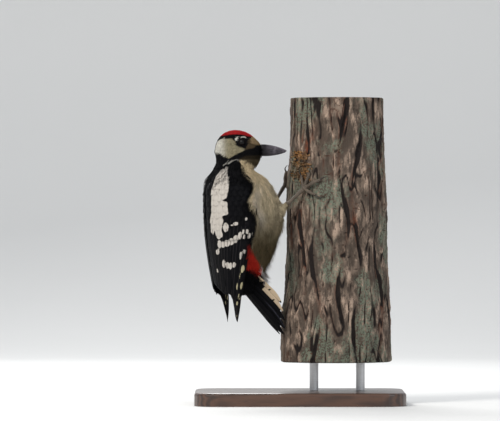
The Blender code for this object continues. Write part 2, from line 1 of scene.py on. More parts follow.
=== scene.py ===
"""Young great spotted woodpecker, dressed over its frame: skin, coat, quills, bill, eyes, feet, trunk."""

import math
from functools import cache

import bmesh
import bpy
import numpy as np
from mathutils import Matrix, Vector, noise


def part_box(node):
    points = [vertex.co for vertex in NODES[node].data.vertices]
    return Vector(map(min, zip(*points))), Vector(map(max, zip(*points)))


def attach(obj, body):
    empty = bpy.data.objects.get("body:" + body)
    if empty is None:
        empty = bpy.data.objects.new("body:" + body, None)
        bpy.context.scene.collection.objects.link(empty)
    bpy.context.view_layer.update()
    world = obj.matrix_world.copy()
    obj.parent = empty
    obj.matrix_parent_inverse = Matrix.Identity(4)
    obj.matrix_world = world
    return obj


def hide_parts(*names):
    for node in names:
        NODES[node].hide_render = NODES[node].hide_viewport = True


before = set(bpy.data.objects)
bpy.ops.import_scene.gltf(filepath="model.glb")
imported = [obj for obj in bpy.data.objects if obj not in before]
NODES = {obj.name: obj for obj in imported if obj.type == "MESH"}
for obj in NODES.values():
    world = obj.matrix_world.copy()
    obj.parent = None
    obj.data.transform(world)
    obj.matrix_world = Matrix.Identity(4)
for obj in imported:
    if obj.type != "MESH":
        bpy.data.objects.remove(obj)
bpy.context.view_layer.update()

bl_info = {
    "name": "Museum Woodpecker",
    "version": (1, 0, 0),
    "blender": (4, 5, 0),
    "location": "3D View > Sidebar > Woodpecker",
    "description": "Dresses the frame of a young woodpecker with skin, feathers, horn and bark",
    "category": "Object",
}

MM = 0.001
SIDES = {"right": -1, "left": 1}
SEED = 11

# How the bird stands to its trunk; lengths and places are in millimetres.
TRUNK_AXIS = np.array([34.0, 10.0])
NECK_TO_TRUNK = 93.5
BODY_TURN = math.radians(20)
TURN = np.array([math.cos(BODY_TURN), math.sin(BODY_TURN)])
NECK_AXIS = TRUNK_AXIS - NECK_TO_TRUNK * TURN
BILL_BASE = np.array([19.4, 0.0, 229.4])
BILL_LENGTH = 22.6
BILL_DEPTH = 10.9
BILL_WIDTH = 8.6
BILL_DROOP = math.radians(3)
EYE_PLACE = np.array([1.4, 11.5, 236.3])
EYE_RADIUS = 3.3
HIP = np.array([23.0, 15.5, 168.0])
HEEL = np.array([39.0, 16.0, 181.5])
TOES = ("inner", "middle", "outer", "hind")
SCALE_DEPTH = 0.3 * MM

# The oval that the folded wing lies on: height, centre, half depth, half width.
WING_LEVELS = (
    (73, -7.2, 2.4, 15.6), (85, -6.5, 9, 17.2), (96, -5.6, 14.2, 19.2), (105, -4.9, 18.6, 21.4),
    (118, -3.7, 22.6, 24.8), (133, -2, 27, 27.8), (150, 0.6, 32, 30.2), (165, 2.5, 35, 31.2),
    (180, 2.7, 35.8, 30.8), (195, 1.6, 34.4, 27.6), (209, -2.2, 27, 22),
)
SHOULDER_HEIGHT = 197
SHOULDER_RISE = 11.5

# The trunk's main fissures, as in the frame; the bark is whole where the feet and tail rest.
FISSURES = 15
FISSURE_WANDER = 5.5
WHOLE_BARK = (((176, 224), 62.0), ((0, 99), 34.0))
CURL_RADIUS = 42.3
RUST_STREAK = (6.0, 240.0)

# The tail: pairs from the middle outwards.
TAIL_ROOT = np.array([-2.5, 0.0, 107.5])
TAIL_LEAN = math.radians(41)
TAIL_LENGTHS = (61.0, 57.0, 50.0, 42.5, 35.0)
TAIL_SPANS = ((0.3, 9.6), (4.2, 13.0), (8.2, 16.4), (12.0, 19.4), (15.4, 22.2))
TAIL_TENT = 15.0
TAIL_HALF_WIDTH = 20.0
TAIL_ROOT_SPREAD = 0.7
TAIL_LAYER = 1.25

# Outlines of the head's markings: forward from the neck's axis and up, in millimetres.
CAP = (
    (-18.5, 240.8), (-17, 242.2), (-9.2, 242.9), (-3.5, 243.3), (2.1, 243), (6.6, 241.6), (11.6, 240.8),
    (13, 252), (-24, 252),
)
CHEEK = (
    (-21, 237.2), (-14.8, 239.8), (-8, 239.2), (-4.7, 237.2), (-3.6, 233.4), (-0.5, 231.8), (2.4, 230.6),
    (4.2, 229.2), (1.6, 227.7), (-3.5, 225.3), (-9.2, 222), (-13.1, 223), (-16.5, 224.9), (-18.2, 226.5),
    (-22.7, 226), (-25, 229.5), (-25, 234),
)
FOREHEAD = (
    (9.6, 235.4), (9.2, 238.6), (9.8, 240.6), (11.8, 241.8), (14, 242), (22, 238), (22, 233.8), (15, 233.8),
)
LORE = ((4.4, 229.5), (6.4, 233), (8.2, 239.6), (11, 240.6), (15.5, 234.4), (12, 231))
SHOULDER_RIM = ((-15, 215.6), (-11, 217.8), (-6, 220), (-3, 220.3), (-0.4, 218.8))
THROAT = (
    (-1, 221.5), (4.4, 224), (21, 225), (25, 220), (18.5, 217), (16.5, 213), (10, 215), (4.4, 218),
    (0, 219.6),
)
BROW = ((-5.4, 238.9), (-3.2, 241.4), (-1, 241.2), (-2.4, 238.9), (-3.6, 237))
LID_MARK = ((0.2, 239.9), (1.4, 241.5), (5, 241.2), (6, 239.8), (3, 240.2))

# How far round the wing's oval the underparts begin, in degrees from the back, at each height.
UNDERPARTS_EDGE = (
    (112, 84), (120, 88), (128, 91), (141, 91), (155, 93), (169, 91), (176, 83), (184, 80), (190, 87),
    (196, 93), (201, 88), (205, 83), (212, 81), (222, 78),
)

# Markings of the folded wing: degrees from the back, height, half width and half height.
SHOULDER_PATCH = (
    (34, 214), (44, 213.5), (51, 209), (56, 205), (54.5, 199), (53, 193.5), (49, 186.3), (43, 184.5),
    (41.5, 183.9), (49.5, 182.6), (50, 177), (50.5, 171.6), (41, 170), (42.5, 165), (40, 162), (39, 157),
    (42, 152), (34, 149.3), (29, 150.4), (26, 157.5), (22, 153), (17, 155.5), (16, 166.5), (19.5, 173),
    (20, 180), (21, 193.5), (25, 202.5), (30, 209),
)
DEGREE_SPAN = 0.52  # millimetres round the wing for a degree
WING_SPOTS = (
    (46.5, 160, 2.3, 4.2), (62, 163.2, 2, 1.6), (56, 161.8, 0.9, 0.8), (34, 144.8, 2.1, 3.8),
    (41, 144.6, 2.3, 3), (48.5, 145.6, 2.3, 3.1), (56, 147.2, 2.3, 3.1), (63, 149.4, 2.1, 3.4),
    (69.5, 152.6, 1.6, 3.5), (41, 127.2, 1.9, 3.7), (48.5, 125.8, 1.7, 3.1), (55, 125.3, 1.7, 3.2),
    (62.5, 126.4, 1.9, 2.6), (29, 137.8, 2, 2.5), (77, 167.2, 0.8, 1.6), (24, 121, 1.2, 1.8),
    (74, 156.2, 0.8, 2.4), (76, 151, 0.9, 2.8), (80, 156.2, 1, 2.4), (84, 151.8, 1.2, 3.2),
    (88.5, 154.4, 0.6, 1.6), (81, 139.4, 1.3, 3.2), (74.5, 134.8, 1.3, 3.8),
)
PALE_BARS = (
    (82, 122.6, 2.2, 3.4), (76.5, 116.4, 0.7, 3), (73, 106.8, 1.2, 3), (85, 107.6, 1.7, 3.5),
    (79, 98.2, 1.1, 3.2), (74.5, 91.6, 2.1, 1.8), (72.5, 80.4, 1, 1.7), (86, 96, 0.9, 2.4),
)

# What the one skin replaces, and what lies under the feathers and fills its hollows.
FLESH = ("head", "neck", "breast", "belly", "rump_and_vent", "thigh_left", "thigh_right")
UNDER_FEATHERS = ("scapulars_left", "scapulars_right", "coverts_left", "coverts_right")
TAIL_COVERED = (9.0, 0.0, 103.0)  # where the skin over the tail's roots ends
HEAD_FROM = 0.214  # height in metres where the head's short feathers begin
JOIN = 1e-6
LID_OPENING = 2.45
LID_RIM = 3.1
LID_OUTER = 5.4
LID_HEIGHT = 0.35
EYE_CLEARANCE = 3.95  # from an eye's centre, where no feather is rooted
BARK_FROM = 36.0  # radius from which the trunk's surface is bark

# Rings of a small feather: share along, width and thickness; then those of a strand of down.
FEATHER_RINGS = ((0.0, 0.35, 0.5), (0.35, 0.95, 1.0), (0.78, 0.95, 0.8), (1.0, 0.4, 0.4))
STRAND_RINGS = ((0.0, 1.0, 1.0), (0.5, 0.8, 0.8), (1.0, 0.2, 0.2))
ROOT_TONE, TIP_TONE = 0.72, 1.16
PATCH = 0.003  # side of a feather's patch on the map

# Tracts of the wing: name, kind of colour and the frame's nodes that they replace.
TRACTS = (
    ("quills", "black_plumage", ("tertials", "secondaries", "primaries")),
    ("coverts", "black_plumage", ("coverts",)),
    ("scapulars", "white_plumage", ("scapulars",)),
)

# Floor from front to back, then the lights: place, target, size, power and colour.
FLOOR_FRONT, FLOOR_BACK = -4.0, 1.4
LIGHTS = (
    ("key", (-0.9, -1.1, 1.3), (-0.05, 0.0, 0.18), 0.5, 22, (1.0, 0.97, 0.93)),
    ("fill", (1.2, -1.5, 0.7), (-0.05, 0.0, 0.18), 1.0, 6, (0.93, 0.96, 1.0)),
    ("rim", (-0.3, 1.1, 1.1), (-0.05, 0.0, 0.2), 0.7, 14, (1.0, 1.0, 1.0)),
)


# ---- numbers and places


def linear(screen):
    """A screen colour, 0 to 255, as linear light."""
    return tuple((v / 255 / 12.92) if v <= 10 else ((v / 255 + 0.055) / 1.055) ** 2.4 for v in screen)


def smooth_table(rows, cuts=8):
    """The rows of a table with smooth rows put between them."""
    table = np.array(rows, float)
    padded = np.vstack([table[0], table, table[-1]])
    t = np.arange(cuts)[:, None] / cuts
    pieces = []
    for before, start, end, after in zip(padded, padded[1:], padded[2:], padded[3:]):
        bend = (2 * before - 5 * start + 4 * end - after) * t**2
        twist = (3 * start - before - 3 * end + after) * t**3
        pieces.append(0.5 * (2 * start + (end - before) * t + bend + twist))
    return np.vstack([*pieces, table[-1:]])


WING_TABLE = smooth_table(WING_LEVELS)


def wing_oval(height):
    """Centre, half depth and half width of the wing's oval at each height."""
    return [np.interp(height, WING_TABLE[:, 0], WING_TABLE[:, k]) for k in (1, 2, 3)]


def head_places(points):
    """World places as millimetres forward, to the side and up from the neck's axis, head's way."""
    return np.column_stack([points[:, :2] / MM - NECK_AXIS, points[:, 2] / MM])


def body_places(points):
    """World places as millimetres forward, to the side and up, along the turned body."""
    flat = points[:, :2] / MM - NECK_AXIS
    return np.column_stack([flat @ TURN, flat @ np.array([-TURN[1], TURN[0]]), points[:, 2] / MM])


def in_world(places, share=1.0):
    """The body's own millimetres as world places; share 0 leaves out the body's turn."""
    places = np.asarray(places, float)
    angle = BODY_TURN * share
    forward, sideways = places[..., 0], places[..., 1]
    x = forward * math.cos(angle) - sideways * math.sin(angle) + NECK_AXIS[0]
    y = forward * math.sin(angle) + sideways * math.cos(angle) + NECK_AXIS[1]
    return np.stack([x, y, places[..., 2]], axis=-1) * MM


def turn_direction(ways):
    """Directions along the body's own axes as world directions."""
    ways = np.asarray(ways, float)
    x = ways[..., 0] * TURN[0] - ways[..., 1] * TURN[1]
    y = ways[..., 0] * TURN[1] + ways[..., 1] * TURN[0]
    return np.stack([x, y, ways[..., 2]], axis=-1)


def wing_place(around, height, lift, side):
    """World places over the folded wing: degrees from the back, height and lift in millimetres."""
    centre, depth, width = wing_oval(height)
    angle = np.radians(around)
    x = centre - (depth + lift) * np.cos(angle)
    return in_world(np.stack([x, side * (width + lift) * np.sin(angle), height], axis=-1))


def wing_angle(places):
    """Degrees round the wing's oval from the back, for places in the body's millimetres."""
    centre, depth, width = wing_oval(places[:, 2])
    return np.degrees(np.arctan2(abs(places[:, 1]) / width, (centre - places[:, 0]) / depth))


def wing_top(around):
    """Height of the wing's upper edge, low at the back and highest at the shoulder."""
    share = np.clip((around - 12) / 80, 0, 1)
    return SHOULDER_HEIGHT + SHOULDER_RISE * np.sin(math.pi * share * 2 / 3)


def underparts_edge(height):
    """Degrees from the back at which the underparts begin."""
    return np.interp(height, *np.array(UNDERPARTS_EDGE).T)


def tail_place(sideways, along, layer):
    """World places over the tail: sideways at full spread, along and under, in millimetres."""
    share = np.minimum(1.0, along / TAIL_LENGTHS[0])
    spread = TAIL_ROOT_SPREAD + (1 - TAIL_ROOT_SPREAD) * share
    drop = TAIL_TENT * (abs(sideways) / TAIL_HALF_WIDTH) ** 1.25 * spread + layer
    x = TAIL_ROOT[0] + math.sin(TAIL_LEAN) * along + math.cos(TAIL_LEAN) * drop
    z = TAIL_ROOT[2] - math.cos(TAIL_LEAN) * along + math.sin(TAIL_LEAN) * drop
    return in_world(np.stack([x, sideways * spread, z], axis=-1))


def unit(vectors):
    return vectors / np.maximum(np.linalg.norm(vectors, axis=-1, keepdims=True), 1e-12)


def fade(value, low, high):
    """0 at low, 1 at high and smooth between."""
    share = np.clip((value - low) / (high - low), 0, 1)
    return share * share * (3 - 2 * share)


def outline_distance(x, z, outline):
    """Signed distance from a closed outline, below zero inside it."""
    corners = np.array(outline, float)
    following = np.roll(corners, -1, axis=0)
    edge = following - corners
    gap = np.stack([x, z], axis=-1)[:, None, :] - corners
    share = np.clip((gap * edge).sum(-1) / (edge**2).sum(-1), 0, 1)
    distance = np.sqrt(((gap - share[..., None] * edge) ** 2).sum(-1)).min(axis=1)
    spans = (corners[:, 1] > z[:, None]) != (following[:, 1] > z[:, None])
    slope = np.where(edge[:, 1] == 0, 1e-9, edge[:, 1])
    reach = corners[:, 0] + edge[:, 0] * (z[:, None] - corners[:, 1]) / slope
    inside = (spans & (x[:, None] < reach)).sum(axis=1) % 2 == 1
    return np.where(inside, -distance, distance)


def patch_distance(around, height):
    """Signed distance from the white shoulder patch."""
    return outline_distance(
        around * DEGREE_SPAN, height, [(degrees * DEGREE_SPAN, z) for degrees, z in SHOULDER_PATCH]
    )


def spots_distance(around, height, spots):
    """Signed distance from the nearest of a wing's spots."""
    nearest = np.full(around.shape, 9.0)
    for spot_around, spot_height, half_width, half_height in spots:
        x = (around - spot_around) * DEGREE_SPAN / half_width
        z = (height - spot_height) / half_height
        nearest = np.minimum(nearest, (np.sqrt(x * x + z * z) - 1) * min(half_width, half_height))
    return nearest


# ---- what a user may change


def colour(name, description, screen):
    return bpy.props.FloatVectorProperty(
        name=name, description=description, subtype="COLOR", size=3, min=0, max=1, default=linear(screen)
    )


def measure(name, description, millimetres):
    return bpy.props.FloatProperty(
        name=name, description=description, default=millimetres * MM, min=0, unit="LENGTH", precision=5
    )


class WoodpeckerColours(bpy.types.PropertyGroup):
    """Colours of the bird, its perch and its stand."""

    black: colour("Black", "Glossy black of the back, wings and tail", (9, 9, 12))
    white: colour("White", "Shoulder patches and wing spots", (195, 188, 179))
    pale_bar: colour("Pale bars", "Dull bars on the long wing feathers", (186, 176, 140))
    red: colour("Cap red", "Red of the young bird's cap", (170, 28, 32))
    vent_red: colour("Vent red", "Red under the tail", (190, 46, 34))
    cheek: colour("Cheek", "Cream of the cheek", (150, 142, 116))
    cheek_rear: colour("Rear cheek", "Whiter rear of the cheek", (224, 221, 210))
    forehead: colour("Forehead", "Buff over the bill", (150, 128, 96))
    breast: colour("Breast", "Dingy buff of the breast", (212, 196, 164))
    throat: colour("Throat", "Rusty buff under the throat", (190, 166, 126))
    # Partly the belly's own olive brown, partly painted shade.
    belly: colour("Belly", "Olive brown of the lower belly", (76, 65, 43))
    fringe_and_rim_light: colour("Fringe", "White down along the belly's keel", (252, 250, 246))
    # Partly the down's own white, partly painted rim light from behind.
    tail_buff: colour("Tail buff", "Buff of the outer tail feathers", (196, 175, 147))
    horn: colour("Bill", "Slate horn of the bill", (70, 66, 71))
    claw: colour("Claws", "Dark horn of the claws", (58, 54, 50))
    leg: colour("Legs", "Olive grey scales of the legs", (106, 93, 79))
    iris: colour("Iris", "Deep red brown of the iris", (20, 11, 9))
    bark: colour("Bark plates", "Pink brown of the bark's plates", (119, 103, 90))
    # Partly the fissures' own dark bark, partly painted shade in the hollows.
    fissure_and_shade: colour("Bark fissures", "Dark floor of the fissures", (27, 20, 17))
    rust: colour("Inner bark", "Rust red inner bark", (132, 70, 42))
    golden: colour("Curled bark", "Golden brown of the curled strips", (142, 100, 54))
    lichen: colour("Lichen", "Grey green lichen on the bark", (104, 114, 98))
    wood: colour("Cut wood", "Pale wood of the cut ends", (176, 146, 108))
    stand: colour("Stand wood", "Dark wood of the base", (66, 42, 28))
    floor: colour("Floor", "Pale floor and backdrop", (226, 226, 224))


class WoodpeckerSizes(bpy.types.PropertyGroup):
    """Sizes of the coat, skin and bark."""

    skin_grain: measure("Skin grain", "Size of the skin's faces", 1.0)
    coat_depth: measure("Coat depth", "How far the skin lies inside the body's outline", 1.1)
    head_spacing: measure("Head feathers", "Space between the head's feathers", 0.85)
    body_spacing: measure("Body feathers", "Space between the body's feathers", 1.35)
    down_spacing: measure("Down", "Space between the tufts of loose down", 1.7)
    bark_grain: measure("Bark grain", "Size of the bark's faces", 1.05)
    fissure_depth: measure("Fissures", "Depth of the bark's small cracks", 1.0)
    camera_distance: measure("Camera distance", "From the camera to the bird", 4500.0)
    frame_width: measure("View width", "Width seen at the bird", 450.0)


def colours():
    return bpy.context.scene.woodpecker_colours


def sizes():
    return bpy.context.scene.woodpecker_sizes


# ---- markings of the coat


def plumage(points, hues):
    """Colour of the coat at each world place, from the outlines of its markings."""
    head, body = head_places(points), body_places(points)
    x, side, z = head[:, 0], abs(head[:, 1]), head[:, 2]
    forward, around, edge = body[:, 0], wing_angle(body), underparts_edge(z)
    tint = np.tile(np.array(hues.black), (len(points), 1))

    def lay(mask, hue):
        tint[:] += (np.array(hue) - tint) * np.clip(mask, 0, 1)[:, None]

    def inside(outline, low, high):
        return 1 - fade(outline_distance(x, z, outline), low, high)

    # Underparts, from the dull throat down to the olive belly; the belly's darkening towards the bottom is
    # partly its own colour and partly painted shade.
    under = fade(around, edge - 1.5, edge + 1.5) * fade(z, 106, 112) * (1 - fade(z, 220.2, 221.2))
    lay(under, hues.breast)
    lay(under * fade(z, 192, 212) * 0.5, hues.throat)
    lay(under * (1 - fade(z, 140, 190)) * 0.95, hues.belly)
    flank = fade(around, edge + 2, edge + 8) * (1 - fade(around, edge + 10, edge + 26))
    lay(under * flank * fade(z, 150, 172) * (1 - fade(z, 188, 200)) * 0.45, hues.white)
    keel = (1 - fade(abs(body[:, 1]), 1.5, 6)) * fade(z, 120, 128) * (1 - fade(z, 166, 176))
    # The keel's near-white down: partly its own colour, partly painted rim light from behind.
    lay(under * keel * fade(forward, 8, 14) * 0.8, hues.fringe_and_rim_light)

    # Red vent with a white fringe before it, and black under the tail; the fringe's white is partly the
    # down's own colour and partly painted rim light from behind.
    below_red = fade(139 - (forward - 1.0) * 1.2 - z, -0.8, 0.8)
    vent = below_red * fade(around, 74, 80) * fade(forward, -4, -1)
    lay(vent, hues.vent_red)
    # Painted shade: the red vent darkens towards the wing.
    lay(vent * (1 - fade(around, 80, 100)) * 0.5, hues.black)
    lay(fade(forward - 9.1 - (138 - z) * 0.26, -0.8, 0.8) * below_red, hues.fringe_and_rim_light)
    black_line = np.maximum(122.5 - (forward - 1.9) * 0.6, 117.0)
    lay(fade(black_line - z, -0.8, 0.8) * (1 - fade(forward, 16, 19)), hues.black)

    # The shoulder patch runs up under the cape.
    patch = 1 - fade(patch_distance(around, z), -1.0, 0.2)
    lay(patch * fade(z, 186, 188) * (1 - fade(z, 211.5, 213)), hues.white)

    # Head.
    on_head = fade(z, 219, 221)
    lay(on_head * inside(FOREHEAD, -0.5, 0.5), hues.forehead)
    lay(on_head * inside(LORE, -0.6, 0.6) * 0.3, hues.forehead)
    rim = SHOULDER_RIM + tuple((px, pz - 0.7) for px, pz in reversed(SHOULDER_RIM))
    lay(inside(rim, 0.0, 0.4) * fade(side, 8, 11) * 0.5, hues.cheek_rear)
    lay(inside(THROAT, -0.8, 0.8) * 0.9, times(hues.throat, 0.055))
    off_middle = fade(side, 3.0, 5.0) + (1 - fade(-x, 15, 18))
    cheek = inside(CHEEK, -0.35, 0.35) * np.clip(off_middle, 0, 1)
    lay(cheek, hues.cheek)
    lay(cheek * fade(-x, 10, 20), hues.cheek_rear)
    lay(inside(BROW, -0.4, 0.3) * 0.85, hues.cheek_rear)
    lay(inside(LID_MARK, -0.4, 0.3) * 0.7, hues.cheek_rear)
    lay(inside(CAP, -0.4, 0.4), hues.red)
    return tint


# ---- meshes


def mesh_from_arrays(name, points, faces):
    """A mesh of points and of arrays of faces, each array with its own count of corners."""
    mesh = bpy.data.meshes.new(name)
    corners = np.concatenate([array.ravel() for array in faces]).astype(np.int32)
    counts = np.concatenate([np.full(len(array), array.shape[1]) for array in faces])
    starts = np.concatenate([[0], np.cumsum(counts)[:-1]]).astype(np.int32)
    mesh.vertices.add(len(points))
    mesh.vertices.foreach_set("co", np.asarray(points, np.float32).ravel())
    mesh.loops.add(len(corners))
    mesh.loops.foreach_set("vertex_index", corners)
    mesh.polygons.add(len(counts))
    mesh.polygons.foreach_set("loop_start", starts)
    mesh.polygons.foreach_set("use_smooth", np.ones(len(counts), bool))
    mesh.update(calc_edges=True)
    return mesh, corners


def set_map(mesh, name, corners, places):
    """A UV map whose corners take their points' places."""
    layer = mesh.uv_layers.new(name=name)
    layer.data.foreach_set("uv", np.asarray(places, np.float32)[corners].ravel())


def set_values(mesh, **named):
    """An attribute for each name, with a number or a colour at each point."""
    for name, values in named.items():
        values = np.asarray(values, np.float32)
        if values.ndim == 1:
            mesh.attributes.new(name, "FLOAT", "POINT").data.foreach_set("value", values)
        else:
            full = np.column_stack([values, np.ones(len(values), np.float32)])
            mesh.attributes.new(name, "FLOAT_COLOR", "POINT").data.foreach_set("color", full.ravel())


def read(items, key, width=3, kind=np.float32):
    """A property of every item as one array."""
    found = np.empty(len(items) * width, kind)
    items.foreach_get(key, found)
    return found.reshape(-1, width)


def points_of(mesh):
    return read(mesh.vertices, "co").astype(float)


def place_object(name, mesh, paint, slot, *replaced):
    """Link a finished mesh as a piece that rides on the model's body."""
    piece = bpy.data.objects.new(name, mesh)
    bpy.context.scene.collection.objects.link(piece)
    mesh.materials.clear()
    mesh.materials.append(paint)
    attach(piece, "root")
    if replaced:
        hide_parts(*replaced)
    return piece


def gathered(*names):
    """Frame nodes' triangles in one shape, joined where they meet."""
    shape = bmesh.new()
    for name in names:
        shape.from_mesh(NODES[name].data)
    bmesh.ops.remove_doubles(shape, verts=shape.verts, dist=JOIN)
    return shape


def from_bmesh(shape, name):
    """A smooth mesh of a shape, which it uses up."""
    for face in shape.faces:
        face.smooth = True
    mesh = bpy.data.meshes.new(name)
    shape.to_mesh(mesh)
    shape.free()
    return mesh


def melted(shape, name, grain):
    """A mesh of a shape as one closed surface, with faces of one size."""
    holder = bpy.data.objects.new(name, from_bmesh(shape, name))
    bpy.context.scene.collection.objects.link(holder)
    remesh = holder.modifiers.new("Melt", "REMESH")
    remesh.mode, remesh.voxel_size, remesh.adaptivity = "VOXEL", grain, 0
    made = bpy.data.meshes.new_from_object(holder.evaluated_get(bpy.context.evaluated_depsgraph_get()))
    bpy.data.objects.remove(holder, do_unlink=True)
    made.name = name
    return made


def smoothed(shape, verts, rounds):
    """Even out some verts of a shape."""
    axes = {"use_axis_x": True, "use_axis_y": True, "use_axis_z": True}
    for _ in range(rounds):
        bmesh.ops.smooth_vert(shape, verts=verts, factor=0.5, **axes)


def swollen(mesh, rounds, depth):
    """A shape of a mesh, evened out and then moved out along its normals by depth(vert)."""
    shape = bmesh.new()
    shape.from_mesh(mesh)
    smoothed(shape, shape.verts, rounds)
    shape.normal_update()
    for vert in shape.verts:
        vert.co += vert.normal * depth(vert)
    return shape


def subdivide(piece, level):
    modifier = piece.modifiers.new("Smooth", "SUBSURF")
    modifier.levels = modifier.render_levels = level


# ---- skin


def flesh_mesh(grain):
    """Flesh nodes and what lies in their hollows, melted into one closed surface."""
    shape = gathered(*FLESH, *UNDER_FEATHERS)
    fans = gathered(*(f"tail_feather_{pair}_{label}" for label in SIDES for pair in range(1, 6)))
    cut = bmesh.ops.bisect_plane(
        fans, geom=[*fans.verts, *fans.edges, *fans.faces], dist=1e-7, clear_outer=True,
        plane_co=Vector(in_world(TAIL_COVERED)),
        plane_no=Vector(turn_direction([math.sin(TAIL_LEAN), 0.0, -math.cos(TAIL_LEAN)])),
    )
    rim = [item for item in cut["geom_cut"] if isinstance(item, bmesh.types.BMEdge)]
    bmesh.ops.holes_fill(fans, edges=rim)
    shape.from_mesh(from_bmesh(fans, "filling"))
    return melted(shape, "flesh", grain)


def eye_seat(side):
    """An eye's centre and the way that it looks."""
    return Vector(in_world(EYE_PLACE * [1, side, 1], 0)), Vector((0.12, side, 0.05)).normalized()


def add_lids(shape):
    """Finer faces round each eye, raised into a rim of lid about the opening."""
    for side in SIDES.values():
        eye, outward = eye_seat(side)
        for reach in (7.0, LID_OUTER):
            near = [e for e in shape.edges if all((v.co - eye).length < reach * MM for v in e.verts)]
            bmesh.ops.subdivide_edges(shape, edges=near, cuts=1, use_grid_fill=True)
        bmesh.ops.triangulate(shape, faces=[f for f in shape.faces if len(f.verts) > 4])
        near = [v for v in shape.verts if (v.co - eye).length < 6.5 * MM]
        smoothed(shape, near, 4)
        for vert in near:
            spoke = vert.co - eye
            height = spoke.dot(outward)
            flat = spoke - outward * height
            reach = math.hypot(flat.x / MM / 1.08, flat.z / MM)
            ball = math.sqrt(max(0.0, EYE_RADIUS**2 - min(reach, EYE_RADIUS) ** 2))
            rim = math.exp(-(((reach - LID_RIM) / 0.55) ** 2)) * LID_HEIGHT
            level = ball - 0.8 if reach < LID_OPENING else max(ball + 0.25, 1.5)
            share = float(1 - fade(reach, 3.4, LID_OUTER))
            target = level * MM * share + height * (1 - share)
            vert.co += outward * (target + rim * MM - height)


def make_skin():
    """The one skin of head, neck, body and thighs, a coat's depth inside the frame's flesh."""
    wanted = sizes()
    shape = swollen(
        flesh_mesh(wanted.skin_grain), 5,
        lambda vert: -(wanted.coat_depth * (0.6 if vert.co.z > HEAD_FROM else 1.0)),
    )
    add_lids(shape)
    bmesh.ops.recalc_face_normals(shape, faces=shape.faces)
    mesh = from_bmesh(shape, "skin")
    set_values(mesh, plumage=plumage(points_of(mesh), colours()))
    skin = place_object("skin", mesh, skin_paint(), "buff_plumage", *FLESH)
    mesh.uv_layers.new(name="OFBake")
    bpy.context.view_layer.objects.active = skin
    skin.select_set(True)
    bpy.ops.object.mode_set(mode="EDIT")
    bpy.ops.mesh.select_all(action="SELECT")
    bpy.ops.uv.smart_project(angle_limit=math.radians(66), island_margin=0.002)
    bpy.ops.object.mode_set(mode="OBJECT")
    skin.select_set(False)


class Ground:
    """The skin's triangles as arrays, for feathers to be rooted on."""

    def __init__(self, mesh):
        mesh.calc_loop_triangles()
        verts = read(mesh.loop_triangles, "vertices", 3, np.int32)
        loops = read(mesh.loop_triangles, "loops", 3, np.int32)
        self.corners = points_of(mesh)[verts]
        self.ups = read(mesh.vertices, "normal").astype(float)[verts]
        self.unwrap = read(mesh.uv_layers["OFBake"].data, "uv", 2)[loops]
        edges = self.corners[:, 1:] - self.corners[:, :1]
        self.areas = np.linalg.norm(np.cross(edges[:, 0], edges[:, 1]), axis=1) / 2

    def roots(self, spacing, wanted, seed):
        """Roots about a spacing apart where wanted(places, ups) holds: places, ups, unwrap."""
        chance = np.random.default_rng(seed)
        keep = wanted(self.corners.mean(axis=1), unit(self.ups.mean(axis=1)))
        corners, ups, unwrap, areas = (a[keep] for a in (self.corners, self.ups, self.unwrap, self.areas))
        chosen = chance.choice(len(areas), int(areas.sum() / spacing**2 * 5), p=areas / areas.sum())
        share = chance.random((len(chosen), 2))
        share[share.sum(axis=1) > 1] = 1 - share[share.sum(axis=1) > 1]
        weights = np.column_stack([1 - share.sum(axis=1), share])[:, :, None]
        places = (corners[chosen] * weights).sum(axis=1)
        cells = np.floor(places / (spacing * 1.12) + chance.random(3)).astype(np.int64)
        key = (cells[:, 0] * 4001 + cells[:, 1]) * 4001 + cells[:, 2]
        first = np.unique(key, return_index=True)[1]
        chosen, weights = chosen[first], weights[first]
        return places[first], unit((ups[chosen] * weights).sum(1)), (unwrap[chosen] * weights).sum(1)


@cache
def ground():
    return Ground(bpy.data.objects["skin"].data)


# ---- coat


def clumps(places):
    """How far feathers stand together in each place, about -1 to 1: long soft furrows."""
    spots = places / MM / [3.4, 3.4, 10.0]
    return np.array([noise.noise(Vector(spot)) + 0.5 * noise.noise(Vector(spot * 2.1)) for spot in spots])


def blades(roots, ups, ways, rings, sides, length, width, thickness, base, lift, bend):
    """Points, faces and vane places of closed blades, one at each root; lengths are in metres."""
    across = unit(np.cross(ways, ups))
    along, broad, thick = np.array(rings).T
    turn = 2 * math.pi * np.arange(sides) / sides
    rise = base[:, None] + lift[:, None] * along - bend[:, None] * along**2
    spine = roots[:, None] + ways[:, None] * (length[:, None] * along)[..., None]
    spine = spine + ups[:, None] * rise[..., None]
    out = (width[:, None] / 2 * broad)[:, :, None] * np.cos(turn)
    up = (thickness[:, None] / 2 * thick)[:, :, None] * np.sin(turn) - abs(out) * 0.22
    points = spine[:, :, None] + across[:, None, None] * out[..., None] + ups[:, None, None] * up[..., None]
    count, steps = len(roots), len(rings)
    first = np.arange(count)[:, None, None] * steps * sides
    ring = np.arange(steps - 1)[None, :, None] * sides
    corner = np.arange(sides)[None, None, :]
    here = first + ring + corner
    beside = first + ring + (corner + 1) % sides
    quads = np.stack([here, here + sides, beside + sides, beside], axis=-1).reshape(-1, 4)
    start = first[:, 0] + np.arange(sides)
    end = first[:, 0] + (steps - 1) * sides + np.arange(sides)[::-1]
    reach = np.broadcast_to((along * length[:, None])[:, :, None], points.shape[:3])
    vane = np.stack([out, reach], axis=-1).reshape(-1, 2)
    return points.reshape(-1, 3), [quads, start, end], vane


